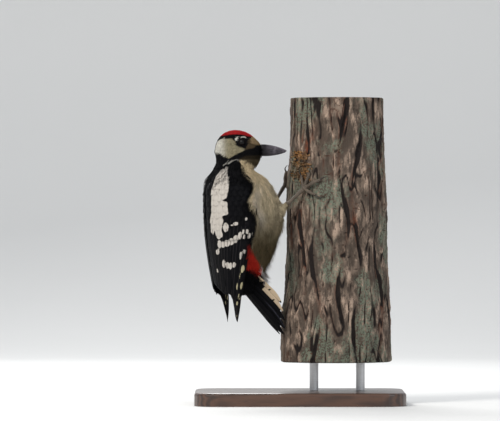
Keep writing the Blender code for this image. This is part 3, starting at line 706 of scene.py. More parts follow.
def along_thigh(places):
    """How far places belong to a feathered thigh, 0 to 1, how far along it, and its way."""
    share, reach = np.zeros(len(places)), np.zeros(len(places))
    way = np.zeros((len(places), 3))
    for side in SIDES.values():
        hip, heel = in_world(HIP * [1, side, 1]), in_world(HEEL * [1, side, 1])
        along = (places - hip) @ (heel - hip) / ((heel - hip) ** 2).sum()
        off = np.linalg.norm(places - hip - along[:, None] * (heel - hip), axis=1) / MM
        own = fade(along, 0.15, 0.8) * (1 - fade(off, 6.5, 10))
        nearer = own > share
        share, reach = np.where(nearer, own, share), np.where(nearer, along, reach)
        way[nearer] = unit(heel - hip)
    return share, reach, way


def lie(places, ups):
    """The way feathers point on the skin: back from the bill, then down the neck and body."""
    head, body = head_places(places), body_places(places)
    from_bill = unit(head - BILL_BASE)
    from_bill[:, 2] -= fade(-head[:, 0], 2, 16) * 1.2
    none = np.zeros(len(places))
    back = -0.5 * fade(body[:, 0], 4, 20) * (1 - fade(body[:, 2], 125, 165))
    down = [0.0, 0.0, -1.0] + turn_direction(np.column_stack([back, none, none]))
    share = fade(head[:, 2], 211, 226)[:, None]
    ways = from_bill * share + down * (1 - share)
    thigh, _, along = along_thigh(places)
    ways += (along * 1.5 - ways) * (thigh * 0.85)[:, None]
    ways -= ups * (ways * ups).sum(axis=1, keepdims=True)
    return unit(ways)


def coat_piece(
    name, slot, spacing, wanted, seed, length, width, strands=1, lift=0.9, base=0.0, spread=0.12, sweep=0.0,
    clumping=1.0, hue=None, rings=FEATHER_RINGS, sides=4, thickness=0.22, variety=0.09,
):
    """One piece of the coat: feathers, or tufts of strands, from roots where wanted holds."""
    chance = np.random.default_rng(SEED + seed)
    roots, ups, unwrap = ground().roots(spacing, wanted, seed)
    low, high = unwrap.min(axis=0), unwrap.max(axis=0)
    unwrap = 0.004 + (unwrap - low) / np.maximum(high - low, 1e-6) * 0.992
    ways = lie(roots, ups)
    roots, ups, ways, unwrap = (np.repeat(a, strands, axis=0) for a in (roots, ups, ways, unwrap))
    count, thigh = len(roots), along_thigh(roots)[0]
    across = unit(np.cross(ways, ups))
    ways = unit(ways + across * chance.normal(0, spread, (count, 1)) + sweep)
    ways = unit(ways - ups * (ways * ups).sum(axis=1, keepdims=True) * 0.9)
    long = np.array(length(roots) if callable(length) else np.full(count, length)) * MM
    long = long * chance.uniform(0.8, 1.2, count) * (1 - 0.5 * thigh)
    long *= 1 - 0.55 * (1 - fade(roots[:, 2] / MM, 110, 121))
    wide = width * MM * chance.uniform(0.85, 1.15, count)
    radius = np.where(roots[:, 2] > HEAD_FROM, 16.0, 30.0) * MM
    base = (base + chance.uniform(-0.1, 0.1, count)) * MM
    clump = clumps(roots) * clumping
    lift = lift * chance.uniform(0.7, 1.3, count) * (1 + 0.9 * clump).clip(0.2, 2) * MM
    lift *= 1 - 0.65 * thigh
    points, faces, vane = blades(
        roots, ups, ways, rings, sides, long, wide, np.full(count, thickness * MM), base, lift,
        long**2 / (2 * radius),
    )
    mesh, corners = mesh_from_arrays(name, points, faces)
    per = len(points) // count
    tint = plumage(roots + ways * long[:, None] * 0.6, colours())
    tint = tint * chance.normal(1.0, variety, (count, 1)).clip(0.6, 1.5)
    # Painted shade: darker in the furrows where the clumps part, and darker on the thighs.
    tint = tint * (1 + 0.55 * clump[:, None]).clip(0.4, 1.5) * (1 - 0.3 * thigh[:, None])
    if hue is not None:
        tint = tint + (np.array(hue) - tint) * chance.uniform(0.7, 1.0, (count, 1))
    shade = np.repeat(ROOT_TONE + (TIP_TONE - ROOT_TONE) * np.array(rings)[:, 0], sides)
    set_values(mesh, plumage=np.repeat(tint, per, axis=0) * np.tile(shade, count)[:, None])
    spot = vane / np.abs(vane).max(axis=0) * [PATCH / 2, PATCH] - [0, PATCH / 2]
    set_map(mesh, "OFBake", corners, np.clip(np.repeat(unwrap, per, axis=0) + spot, 0, 1))
    set_map(mesh, "Vane", corners, vane / MM * 0.1)
    place_object(name, mesh, coat_paint(), slot)


def clear_of_parts(places):
    """Where a feather may root: not in an eye, under the bill, under the wing or on the shank."""
    head, body = head_places(places), body_places(places)
    clear = np.ones(len(places), bool)
    for side in SIDES.values():
        clear &= np.linalg.norm(head - EYE_PLACE * [1, side, 1], axis=1) > EYE_CLEARANCE
    out = head - BILL_BASE
    clear &= ~((out[:, 0] > -1.5) & (np.hypot(out[:, 1], out[:, 2]) < 3.6))
    around, height = wing_angle(body), body[:, 2]
    clear &= ~((around > 15) & (around < 87) & (height < wing_top(around) - 5) & (height > 100))
    thigh, reach, _ = along_thigh(places)
    return clear & ~((thigh > 0.3) & (reach > 0.97))


def between(low, high, front=None):
    """Roots between two heights; front keeps the under side, or the back when it is False."""

    def wanted(places, ups):
        keep = (places[:, 2] > low * MM) & (places[:, 2] <= high * MM) & clear_of_parts(places)
        if front is not None:
            keep &= (wing_angle(body_places(places)) > 60) == front
        return keep

    return wanted


def head_length(roots):
    """Length of the head's feathers: shortest by the bill and round the eyes."""
    spots = head_places(roots)
    near_bill = np.linalg.norm(spots - BILL_BASE, axis=1)
    near_eye = np.minimum(*(
        np.linalg.norm(spots - EYE_PLACE * [1, side, 1], axis=1) for side in SIDES.values()
    ))
    return 1.5 + 1.5 * fade(near_bill, 4, 22) - 0.6 * (1 - fade(near_eye, 4, 8))


def over_wing(places, ups):
    """The cape, which hangs over the wing's upper edge."""
    body = body_places(places)
    around = wing_angle(body)
    rise = body[:, 2] - wing_top(around)
    return (around > 21) & (around < underparts_edge(body[:, 2]) - 2) & (rise > -4.5) & (rise < 8)


def along_wing(places, ups):
    """The flank's down, which laps over the wing's front edge."""
    body = body_places(places)
    off = wing_angle(body) - underparts_edge(body[:, 2])
    return (off > -1) & (off < 9) & (body[:, 2] > 124) & (body[:, 2] < 216)


def along_keel(places, ups):
    """The middle line of the belly."""
    body = body_places(places)
    front = ups @ turn_direction([1.0, 0.0, 0.0]) > 0.3
    return front & (abs(body[:, 1]) < 6) & (body[:, 2] > 117) & (body[:, 2] < 168)


def round_bill(places, ups):
    """Both sides of the bill's base."""
    out = head_places(places) - BILL_BASE
    ring = np.hypot(out[:, 1], out[:, 2])
    return (out[:, 0] > -4) & (ring < 8) & (abs(out[:, 2] + 0.6) < 2.9) & (ups[:, 0] > 0.15)


def make_coat():
    """Small feathers of head, mantle, underparts, rump and vent, then the loose down."""
    wanted = sizes()
    head, body, down = wanted.head_spacing, wanted.body_spacing, wanted.down_spacing
    fine = {"rings": STRAND_RINGS, "sides": 3, "thickness": 0.2, "variety": 0.16}
    to_back = turn_direction([-0.75, 0.0, 0.0])
    black, buff, white = "black_plumage", "buff_plumage", "white_plumage"
    for name, slot, spacing, region, seed, length, width, style in (
        ("coat_head", white, head, between(221, 999), 1, head_length, 0.75,
         {"lift": 0.35, "base": 0.1, "clumping": 0.25}),
        ("coat_neck", black, body * 0.8, between(202, 221), 2, 4.2, 1.4,
         {"lift": 0.7, "base": 0.2, "clumping": 0.4}),
        ("coat_cape", black, body * 0.9, over_wing, 11, 8.0, 1.9,
         {"lift": 2.0, "base": 0.5, "clumping": 0.3}),
        ("coat_mantle", black, body, between(104, 202, False), 3, 6.0, 2.4,
         {"lift": 0.8, "base": 0.3, "clumping": 0.3}),
        ("coat_breast", buff, body * 0.85, between(161, 202, True), 4, 6.0, 1.2, {}),
        ("coat_belly", buff, body * 0.85, between(96, 161, True), 5, 6.5, 1.2, {}),
        ("down_breast", buff, down, between(165, 219, True), 6, 7.0, 0.28,
         {"strands": 7, "lift": 1.9, "spread": 0.28, **fine}),
        ("down_belly", buff, down, between(112, 165, True), 7, 9.0, 0.28,
         {"strands": 7, "lift": 2.6, "spread": 0.32, **fine}),
        ("down_flank", buff, 1.5 * MM, along_wing, 8, 7.5, 0.28,
         {"strands": 5, "lift": 2.6, "base": 0.9, "spread": 0.4, "sweep": to_back, **fine}),
        # The keel's strands take the fringe hue: partly white down, partly painted rim light from behind.
        ("down_keel", white, 1.5 * MM, along_keel, 9, 7.0, 0.26,
         {"strands": 5, "lift": 4.4, "base": 0.6, "spread": 0.4, "hue": colours().fringe_and_rim_light, **fine}),
        ("bristles", black, 0.75 * MM, round_bill, 10, 4.2, 0.22,
         {"strands": 3, "lift": 0.1, "base": 0.1, "spread": 0.12, "sweep": np.array([3.2, 0.0, -0.2]),
          "clumping": 0.2, **fine}),
    ):
        coat_piece(name, slot, spacing, region, seed, length, width, **style)


# ---- wing and tail feathers


def vane_group(place, count, along, across, flipped=False):
    """Closed thin vanes: their points and faces, then all that place measures at each point.

    place(index, s, t, face) gives places and measures; s runs across a vane from -1 to 1, t along
    it from 0 to 1, and face is 1 above and 0 below. Index, s and t come last of the measures.
    """
    index = np.arange(count)[:, None, None]
    t = (np.arange(along + 1) / along)[None, :, None]
    s = (np.arange(across + 1) / across * 2 - 1)[None, None, :]
    index, t, s = np.broadcast_arrays(index, t, s)
    sheets = [(*place(index, s, t, face), index, s, t) for face in (1, 0)]
    points, *measures = (np.stack(pair, axis=1) for pair in zip(*sheets))
    size = (along + 1) * (across + 1)
    grid = np.arange(size).reshape(along + 1, across + 1)
    quads = np.stack([grid[:-1, :-1], grid[:-1, 1:], grid[1:, 1:], grid[1:, :-1]], axis=-1).reshape(-1, 4)
    rim = np.concatenate([grid[0, :-1], grid[:-1, -1], grid[-1, :0:-1], grid[:0:-1, 0]])
    wall = np.stack([np.roll(rim, -1), rim, rim + size, np.roll(rim, -1) + size], axis=-1)
    one = np.concatenate([quads, quads[:, ::-1] + size, wall])
    faces = (one[None] + (np.arange(count) * size * 2)[:, None, None]).reshape(-1, 4)
    return points.reshape(-1, 3), faces[:, ::-1] if flipped else faces, [m.ravel() for m in measures]


def place_vanes(name, points, faces, measures, length, slot, replaced, **values):
    """A piece of vanes, each with a cell of the map, its barbs' own map and its markings."""
    wide, index, s, t = measures[-4:]
    mesh, corners = mesh_from_arrays(name, points, [faces])
    count = index.max() + 1
    inner = np.tile(np.repeat([0, 1], len(points) // count // 2), count)
    across = math.ceil(math.sqrt(count))
    u = (index % across + 0.03 + 0.45 * (s + 1) / 2 + 0.49 * inner) / across
    v = (index // across + 0.03 + 0.94 * t) / across
    set_map(mesh, "OFBake", corners, np.column_stack([u, v]))
    set_map(mesh, "Vane", corners, np.column_stack([s * wide, t * length]) * 0.1)
    set_values(mesh, **values)
    place_object(f"{name}_vanes", mesh, quill_paint(), slot, *replaced)


def tip_width(t, roundness, tip_start):
    """A vane's share of its full width along its length."""
    tip = np.clip((t - tip_start) / (1 - tip_start), 0, 1)
    grow = 0.5 + 0.5 * fade(t, 0.0, 0.3)
    return grow * np.maximum((1 - tip**roundness), 0.0) ** (1 / roundness) + 0.02


def feather_rows(top, bottom, step, low, high, width, length):
    """Overlapping rows: root around, root height, tip around, tip height, half width, lift."""
    chance = np.random.default_rng(SEED + int(top * 7 + low))
    rows = []
    count = int((top - bottom) / step)
    for row in range(count + 1):
        tip = bottom + step * (count - row)
        gap = width * 1.5 / DEGREE_SPAN
        for k in range(int((high - low) / gap) + 2):
            around = low + gap * (k - 0.5 * (row % 2)) + chance.uniform(-0.8, 0.8)
            upper = float(wing_top(np.array(around)))
            if low - 2 <= around <= min(high + 2, underparts_edge(tip + 3) + 1) and tip < upper - 3:
                rows.append((
                    around, min(tip + length, upper + 1.5), around + chance.uniform(-1, 1),
                    tip + chance.uniform(-0.8, 0.8), width, 0.2,
                ))
    return rows


def wing_feathers(kind):
    """Feathers of a tract, as feather_rows gives them, then cells along and across, and roundness."""
    if kind == "coverts":
        return feather_rows(211, 160, 4.6, 50, 91, 3.0, 9.5), 9, 6, 2.2
    if kind == "scapulars":
        return feather_rows(212, 152, 5.2, 10, 54, 3.6, 13.0), 12, 6, 2.2
    primaries = [
        (56 + 4.6 * k, 134, 64 + 2.1 * k, 98 - 3.9 * k, 4.2 - 0.12 * k, -1.5 - 0.16 * k) for k in range(7)
    ]
    secondaries = [(44 + 5.6 * k, 160, 41 + 5.4 * k, 101 - 0.9 * k, 4.3, -0.1 - 0.22 * k) for k in range(8)]
    tertials = [(12 + 8.5 * k, 166, 15 + 7.5 * k, 106.5 - 2.4 * k, 5.2, 0.75 - 0.22 * k) for k in range(4)]
    greater = [(43 + 5.6 * k, 168, 41 + 6.0 * k, 147 + 0.4 * k, 3.9, 0.5 - 0.05 * k) for k in range(9)]
    return primaries + secondaries + tertials + greater, 34, 8, 1.9


def make_wing_group(kind, slot, label, side, nodes):
    """One group of a wing's feathers on one side."""
    table, along, across, roundness = wing_feathers(kind)
    data = np.array(table)
    chance = np.random.default_rng(SEED + len(kind))
    quills = kind == "quills"
    chubby = chance.uniform(-0.12, 0.12, len(data))

    def place(index, s, t, face):
        root_a, root_z, tip_a, tip_z, half, lift = (data[index, k] for k in range(6))
        start = np.where(half > 4.0, 0.86, 0.72) if quills else 0.62
        wide = half * tip_width(t, roundness, start)
        height = root_z + (tip_z - root_z) * t
        middle = root_a + (tip_a - root_a) * t
        depth, width = wing_oval(height)[1:]
        angle = np.radians(middle)
        degree = np.hypot(depth * np.sin(angle), width * np.cos(angle)) * math.pi / 180
        around = middle + s * wide / degree
        rise = lift + (0.45 if quills else 1.0) * (t - 0.35) - 0.35 * s * s + chubby[index] * t
        rise = rise + 0.14 * np.exp(-((s * wide / 0.35) ** 2)) - (0.0 if face else 0.28)
        return wing_place(around, height, rise, side), around, height, wide

    points, faces, measures = vane_group(place, len(data), along, across, side < 0)
    around, height, wide, index, s, t = measures
    hues = colours()
    white = np.minimum(spots_distance(around, height, WING_SPOTS), patch_distance(around, height))
    pale = spots_distance(around, height, PALE_BARS)
    tone = chance.uniform(0.6, 1.2, len(data))[index, None]
    brown = 2.2 * fade(98 - data[:, 3], 0, 12)[index] * (t > 0.5)
    place_vanes(
        f"{kind}_{label}", points, faces, measures, (data[:, 1] - data[:, 3])[index], slot,
        [f"{node}_{label}" for node in nodes],
        mark=np.minimum(white, pale),
        mark_colour=np.where((pale < white)[:, None], np.array(hues.pale_bar), np.array(hues.white)),
        plumage=np.array(hues.black) * tone * (1 + brown[:, None] * [1.1, 0.9, 0.7]),
        shaft_tone=np.full(len(points), 0.8 if quills else 0.1),
    )


def tail_marks(pair, sideways, along):
    """Signed distance from the buff of a tail feather: edges, ends and bars."""
    length = TAIL_LENGTHS[pair]
    inner, outer = TAIL_SPANS[pair]
    if pair < 2:
        return np.full(sideways.shape, 3.0)
    bars = np.abs((along - length + 6.0 + 2.5 * pair) % 15.0 - 7.5) - 6.7
    reach = {2: length - 9, 3: length - 28, 4: length - 33}[pair]
    edge = {2: outer - 1.2, 3: outer - 4.2, 4: inner - 1}[pair]
    return np.maximum(np.maximum(reach - along, edge - sideways), np.minimum(bars, outer - 1.3 - sideways))


def make_tail(label, side):
    """One side of the tail: five stiff pointed feathers in half a tent."""
    lengths, (inner, outer) = np.array(TAIL_LENGTHS), np.array(TAIL_SPANS).T

    def place(index, s, t, face):
        middle, half = (inner[index] + outer[index]) / 2, (outer[index] - inner[index]) / 2
        point = np.clip((t - 0.62) / 0.38, 0, 1)
        wide = half * (1 - 0.93 * point**1.7) * (0.75 + 0.25 * fade(t, 0, 0.3))
        sideways = middle + s * wide
        along = lengths[index] * t
        layer = index * TAIL_LAYER * 0.9 + 0.25 * s * s - 0.12 * np.exp(-((s * wide / 0.4) ** 2))
        layer = layer + (0.0 if face else 0.35)
        return tail_place(side * sideways, along, layer), sideways, along, wide

    points, faces, measures = vane_group(place, len(lengths), 44, 10, side < 0)
    sideways, along, wide, index, s, t = measures
    mark = np.full(len(points), 3.0)
    for pair in range(len(lengths)):
        own = index == pair
        mark[own] = tail_marks(pair, sideways[own], along[own])
    # Painted highlight: a pale glossy line along one vane of the second pair.
    line = (index == 1) * fade(along, 22, 34) * (1 - fade(np.abs(s - 0.8), 0.05, 0.16))
    tone = np.array([1.0, 0.85, 1.1, 0.9, 1.0])[index] * (1 + 14 * line)
    place_vanes(
        f"tail_{label}", points, faces, measures, lengths[index], "black_plumage",
        [f"tail_feather_{pair}_{label}" for pair in range(1, 6)],
        mark=mark,
        mark_colour=np.tile(np.array(colours().tail_buff), (len(points), 1)),
        plumage=np.array(colours().black) * tone[:, None],
        shaft_tone=np.full(len(points), 0.5),
    )


# ---- bill, eyes, feet


def drawn_tube(rings, place, corners=20):
    """A closed tube of rings; place(k, angle) gives the points of ring k."""
    shape = bmesh.new()
    bmesh.ops.create_grid(shape, x_segments=corners, y_segments=rings - 1, size=1)
    for vert in shape.verts:
        step = round((vert.co.x + 1) / 2 * corners) % corners
        vert.co = place(round((vert.co.y + 1) / 2 * (rings - 1)), 2 * math.pi * step / corners)
    bmesh.ops.remove_doubles(shape, verts=shape.verts, dist=JOIN)
    bmesh.ops.holes_fill(shape, edges=[edge for edge in shape.edges if edge.is_boundary])
    bmesh.ops.recalc_face_normals(shape, faces=shape.faces)
    return shape


def make_bill():
    """Both halves of the bill, with a ridged top, grooved sides and a chisel tip."""
    tilt = Matrix.Rotation(BILL_DROOP, 3, "Y")
    steps = 15
    for name, sign in (("bill_upper", 1), ("bill_lower", -1)):

        def place(k, angle):
            t = k / (steps - 1)
            depth = BILL_DEPTH * (1 - 0.85 * t**2.1) / 2
            width = BILL_WIDTH * (1 - 0.74 * t**1.1) / 2
            gape = -0.6 * (1 - t)
            across, up = math.cos(angle), math.sin(angle)
            if up >= 0:
                ridge = up ** (1.25 if sign > 0 else 0.95)
                rise = gape + sign * (0.06 + ridge * depth - sign * gape * ridge)
            else:
                rise = gape - (0.3 if sign > 0 else 0.36) * (1 - across * across) * (1 - 0.9 * t)
            groove = 1 - 0.12 * math.exp(-(((abs(up) - 0.55) / 0.16) ** 2)) * (1 - t) * (up > 0)
            reach = BILL_LENGTH * t * (1 if sign > 0 else 0.965) - (3.0 if k == 0 else 0)
            spot = tilt @ Vector((reach, across * width * groove, rise))
            return Vector(in_world(np.array(BILL_BASE) + np.array(spot), 0))

        mesh = from_bmesh(drawn_tube(steps, place), name)
        spots = head_places(points_of(mesh)) - BILL_BASE
        t = np.clip(spots[:, 0] / BILL_LENGTH, 0, 1)
        level = (spots[:, 2] + np.tan(BILL_DROOP) * spots[:, 0]) / (BILL_DEPTH / 2 * (1 - 0.85 * t**2.1))
        # Painted highlight along the top ridge; the bill is also darker towards its base.
        ridge = fade(level, 0.3, 0.85) * fade(t, 0.15, 0.4)
        set_values(mesh, shade=0.2 + 0.75 * fade(t, 0.04, 0.45) + 1.2 * ridge)
        subdivide(place_object(f"{name}_horn", mesh, horn_paint("bill"), "bill_horn", name), 1)


def make_eye(label, side):
    """A glossy eye with a bulging cornea, set in the skin's lids."""
    shape = bmesh.new()
    bmesh.ops.create_uvsphere(shape, u_segments=40, v_segments=28, radius=EYE_RADIUS * MM)
    from_axis = []
    for vert in shape.verts:
        reach = math.hypot(vert.co.x, vert.co.y) / MM
        from_axis.append(reach if vert.co.z > 0 else 5.0)
        if vert.co.z > 0:
            vert.co.z += 0.34 * max(0.0, 1 - (reach / 2.4) ** 2) * MM
    centre, outward = eye_seat(side)
    turn = Vector((0, 0, 1)).rotation_difference(outward).to_matrix()
    bmesh.ops.rotate(shape, cent=(0, 0, 0), matrix=turn, verts=shape.verts)
    bmesh.ops.translate(shape, vec=centre, verts=shape.verts)
    mesh = from_bmesh(shape, f"eye_{label}")
    set_values(mesh, from_axis=from_axis)
    place_object(f"eye_{label}_globe", mesh, eye_paint(), "eye", f"eye_{label}")


def near_end(name, other):
    """The middle of the end of one frame node that faces another node."""
    first, second = (points_of(NODES[key].data) for key in (name, other))
    gaps = np.linalg.norm(first[:, None] - second[None], axis=2).min(axis=1)
    return first[gaps < gaps.min() + 0.9 * MM].mean(axis=0)


def bridge(shape, start, end, radius):
    """Add a round-ended rod between two places."""
    start, end = Vector(start), Vector(end)
    turn = (end - start).to_track_quat("Z", "Y").to_matrix().to_4x4()
    bmesh.ops.create_cone(
        shape, cap_ends=True, segments=16, radius1=radius, radius2=radius, depth=(end - start).length,
        matrix=Matrix.Translation((start + end) / 2) @ turn,
    )
    for place in (start, end):
        bmesh.ops.create_icosphere(shape, subdivisions=2, radius=radius, matrix=Matrix.Translation(place))


def make_foot(label, side):
    """A scaly shank, foot and toes in one skin, and their horny claws."""
    tarsus, foot = f"tarsus_{label}", f"foot_{label}"
    claws = [f"claw_{toe}_{label}" for toe in TOES]
    shape = gathered(tarsus, foot)
    bridge(shape, near_end(tarsus, foot), near_end(foot, tarsus), 1.5 * MM)
    bridge(shape, near_end(tarsus, f"thigh_{label}"), in_world(HEEL * [1, side, 1]), 1.7 * MM)
    for claw in claws:
        bridge(shape, near_end(foot, claw), near_end(claw, foot), 0.85 * MM)
    shape = swollen(melted(shape, foot, 0.3 * MM), 4, lambda vert: SCALE_DEPTH)
    place_object(f"{foot}_scales", from_bmesh(shape, foot), scale_paint(), "leg_scales", tarsus, foot)
    for claw in claws:
        shape = gathered(claw)
        bmesh.ops.join_triangles(
            shape, faces=shape.faces, angle_face_threshold=0.9, angle_shape_threshold=0.9
        )
        mesh = from_bmesh(shape, claw)
        subdivide(place_object(f"{claw}_horn", mesh, horn_paint("claw"), "claw_horn", claw), 2)


# ---- trunk


def main_fissure(places):
    """How near places on the bark are to the trunk's main fissures, 0 to 1; all in millimetres."""
    flat = (places[:, :2] - TRUNK_AXIS) @ np.array([[TURN[0], -TURN[1]], [TURN[1], TURN[0]]])
    degrees = np.degrees(np.arctan2(-flat[:, 1], -flat[:, 0]))
    height = places[:, 2]
    nearest = np.zeros(len(places))
    for index in range(FISSURES):
        middle = 360 * index / FISSURES + 4.0 * math.sin(2.7 * index)
        middle = middle + FISSURE_WANDER * np.sin(height / 19 + 1.9 * index)
        depth = 0.62 + 0.38 * np.sin(height / 13 + 2.3 * index)
        facing = np.abs((middle + 180) % 360 - 180)
        for (low, high), reach in WHOLE_BARK:
            depth = np.where((height > low) & (height < high) & (facing < reach), 0.0, depth)
        off = np.abs((degrees - middle + 180) % 360 - 180)
        nearest = np.maximum(nearest, (1 - off / 4.2) * depth)
    return nearest


def bark_grain(x, y, z):
    """Noise of the bark at a place in millimetres: sideways warp, small cracks and flaking."""
    warp = noise.noise_vector(Vector((x, y, z * 0.4)) / 18.0)
    bent = Vector((x / 7.0 + warp.x * 0.5, y / 7.0 + warp.y * 0.5, z / 42.0 + warp.z * 0.3))
    upright = max(0.0, 1 - abs(noise.noise(bent + Vector((3.1, 7.7, 1.3)))) / 0.12)
    open_here = float(fade(noise.noise(Vector((x / 9.0, y / 9.0, z / 15.0 + 5.0))), -0.35, 0.2))
    cross = Vector((x / 15.0 + warp.x, y / 15.0 + warp.y, z / 6.0 + warp.z))
    short = max(0.0, 1 - abs(noise.noise(cross)) / 0.05) * 0.6 * (1 - open_here)
    flaky = noise.fractal(Vector((x / 5.5, y / 5.5, z / 15.0 + 4.0)), 0.9, 2.2, 5)
    return warp.x, warp.y, max(upright * open_here, short), flaky, noise.noise(bent * 0.6)


def make_trunk():
    """The cut length of trunk: flaking bark plates, fissures and ringed ends."""
    noise.seed_set(SEED)
    wanted = sizes()
    low, high = (corner[2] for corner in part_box("perch_trunk"))
    mesh = melted(gathered("perch_trunk"), "trunk", wanted.bark_grain)
    points = points_of(mesh)
    flat = points[:, :2] - TRUNK_AXIS * MM
    radius = np.hypot(flat[:, 0], flat[:, 1])
    bark = radius > BARK_FROM * MM
    places = points[bark] / MM
    warp_x, warp_y, own, flaky, patchy = np.array([bark_grain(*place) for place in places]).T
    ragged = main_fissure(places + np.column_stack([warp_x, warp_y, warp_x * 0]) * 2.4)
    deep = np.clip(ragged * 2.0 - 0.5 + 0.7 * flaky, 0, 1)
    steps = (flaky + 1) * 3.6
    layer = (np.floor(steps) + fade(steps % 1, 0.7, 1.0)) / 7.2
    edge = np.minimum(places[:, 2] - low / MM, high / MM - places[:, 2])
    shift = -fade(own, 0.0, 0.8) * wanted.fissure_depth / MM - 0.5 * deep + (layer - 0.5) * 2.0
    shift *= 0.25 + 0.75 * fade(edge, 0.0, 2.0)
    outward = flat[bark] / radius[bark, None]
    points[bark, :2] += outward * shift[:, None] * MM
    mesh.vertices.foreach_set("co", points.astype(np.float32).ravel())
    mesh.update()
    mesh.polygons.foreach_set("use_smooth", np.ones(len(mesh.polygons), bool))
    across, up = (places[:, 0] - RUST_STREAK[0]) / 6, (places[:, 2] - RUST_STREAK[1]) / 16
    streak = np.exp(-(across**2) - up**2) * (places[:, 1] < TRUNK_AXIS[1])
    rust = np.clip(ragged * 1.5 + own, 0, 1) * fade(patchy, -0.05, 0.3) + streak * fade(flaky, 0.3, -0.2)
    # Crack says how far the fissure colour, partly painted shade, covers the bark.
    crack, tone, rusty = values = np.zeros((3, len(points)))
    values[:, bark] = np.maximum(own * 0.8, deep), layer, rust
    set_values(mesh, crack=crack, tone=tone, rust=rusty)
    place_object("trunk_bark", mesh, bark_paint(), "bark", "perch_trunk")


def make_curls():
    """A tangle of curled strips of golden bark beside the feet."""
    chance = np.random.default_rng(SEED + 40)
    count = 64
    start_x, start_z = chance.uniform(-7.0, 6.5, count), chance.uniform(203.0, 228.0, count)
    way = chance.uniform(-1.2, 1.2, count) + math.pi * chance.integers(0, 2, count)
    long, wide = chance.uniform(4.0, 8.5, count), chance.uniform(0.5, 0.9, count)
    curl, rise = chance.uniform(-0.5, 0.5, count), chance.uniform(0.8, 2.8, count)

    def place(index, s, t, face):
        angle = way[index] + curl[index] * t * 2.5
        reach = long[index] * (t - 0.3)
        x = np.maximum(start_x[index] + np.cos(angle) * reach - np.sin(angle) * s * wide[index], -8.5)
        z = start_z[index] + np.sin(angle) * reach + np.cos(angle) * s * wide[index]
        lift = 0.3 + rise[index] * (2 * t - 1) ** 2 + 0.5 * (1 - s * s) * face + 0.25 * face
        depth = np.maximum((CURL_RADIUS + lift) ** 2 - (x - TRUNK_AXIS[0]) ** 2, 0)
        return (np.stack([x, TRUNK_AXIS[1] - np.sqrt(depth), z], axis=-1) * MM,)

    points, faces, (index, s, t) = vane_group(place, count, 9, 4, flipped=True)
    mesh, _ = mesh_from_arrays("curls", points, [faces])
    set_values(
        mesh, crack=0.05 + 0.25 * (t < 0.15), tone=chance.uniform(0.3, 0.9, count)[index],
        golden=chance.uniform(0.55, 1.0, count)[index],
    )
    place_object("bark_curls", mesh, bark_paint(), "bark")


# ---- paints


def times(hue, share):
    """A colour made darker or lighter."""
    return tuple(min(1.0, v * share) for v in hue)


class Paint:
    """One procedural material; its calls add nodes and give back their outputs."""

    def __init__(self, name):
        self.made = bpy.data.materials.new(name)
        self.made.use_nodes = True
        self.tree = self.made.node_tree

    def feed(self, sockets, values):
        """Link or set inputs, by name or number."""
        for key, value in values.items():
            if isinstance(value, bpy.types.NodeSocket):
                self.tree.links.new(value, sockets[key])
            else:
                sockets[key].default_value = value

    def add(self, kind, inputs=None, **settings):
        node = self.tree.nodes.new(f"ShaderNode{kind}")
        for key, value in settings.items():
            setattr(node, key, value)
        self.feed(node.inputs, inputs or {})
        return node.outputs

    def maths(self, operation, *values):
        return self.add("Math", dict(enumerate(values)), operation=operation)[0]

    def mix(self, factor, first, second, blend="MIX"):
        first, second = (
            value if isinstance(value, bpy.types.NodeSocket) else (*value[:3], 1.0)
            for value in (first, second)
        )
        return self.add("Mix", {0: factor, 6: first, 7: second}, data_type="RGBA", blend_type=blend)[2]

    def span(self, value, *ends):
        """A value eased from the first two ends to the next two, which are 0 and 1 if not given."""
        return self.add("MapRange", dict(enumerate((value, *ends))), interpolation_type="SMOOTHSTEP")[0]

    def here(self, scale=(1, 1, 1), **inputs):
        """The piece's own coordinates, stretched."""
        place = self.add("TexCoord")["Object"]
        return self.add("Mapping", {"Vector": place, "Scale": scale, **inputs})[0]

    def noise(self, scale, detail, stretch=(1, 1, 1), roughness=0.55):
        inputs = {"Vector": self.here(stretch), "Scale": scale, "Detail": detail, "Roughness": roughness}
        return self.add("TexNoise", inputs)["Fac"]

    def grain(self, direction, stretch, scale, distortion, detail, detail_scale, kind="BANDS"):
        """Rings or bands of wood."""
        inputs = {"Vector": stretch, "Scale": scale, "Distortion": distortion, "Detail": detail,
                  "Detail Scale": detail_scale}
        settings = {"wave_type": kind, f"{kind.lower()}_direction": direction}
        return self.add("TexWave", inputs, **settings)["Fac"]

    def colour(self, name):
        return self.add("Attribute", attribute_name=name)["Color"]

    def number(self, name):
        return self.add("Attribute", attribute_name=name)["Fac"]

    def barbs(self):
        """Ribs that slant off a vane's shaft, from the vane's own map, and how far the shaft is."""
        across, along, _ = self.add("SeparateXYZ", {"Vector": self.add("UVMap", uv_map="Vane")[0]})
        off = self.maths("ABSOLUTE", across)
        slant = self.maths("SUBTRACT", along, self.maths("MULTIPLY", off, 0.8))
        return self.maths("SINE", self.maths("MULTIPLY", slant, 2 * math.pi * 26)), off

    def finish(self, colour, roughness, specular=0.5, height=None, depth=0.0, strength=1.0, **others):
        """The material, with its surface's colour, roughness, shine and fine relief."""
        inputs = {"Base Color": colour, "Roughness": roughness, "Specular IOR Level": specular, **others}
        if height is not None:
            bump = {"Height": height, "Distance": depth, "Strength": strength}
            inputs["Normal"] = self.add("Bump", bump)["Normal"]
        self.feed(self.tree.nodes["Principled BSDF"].inputs, inputs)
        return self.made


def skin_paint():
    paint = Paint("skin")
    tint, grain = paint.colour("plumage"), paint.noise(1500, 3, (1, 1, 0.4))
    dark = paint.mix(1.0, tint, (0.75, 0.72, 0.7), "MULTIPLY")
    hue = paint.mix(paint.span(grain, 0.35, 0.7), dark, tint)
    return paint.finish(hue, paint.span(grain, 0.2, 0.8, 0.62, 0.85), 0.1, grain, 0.0003)


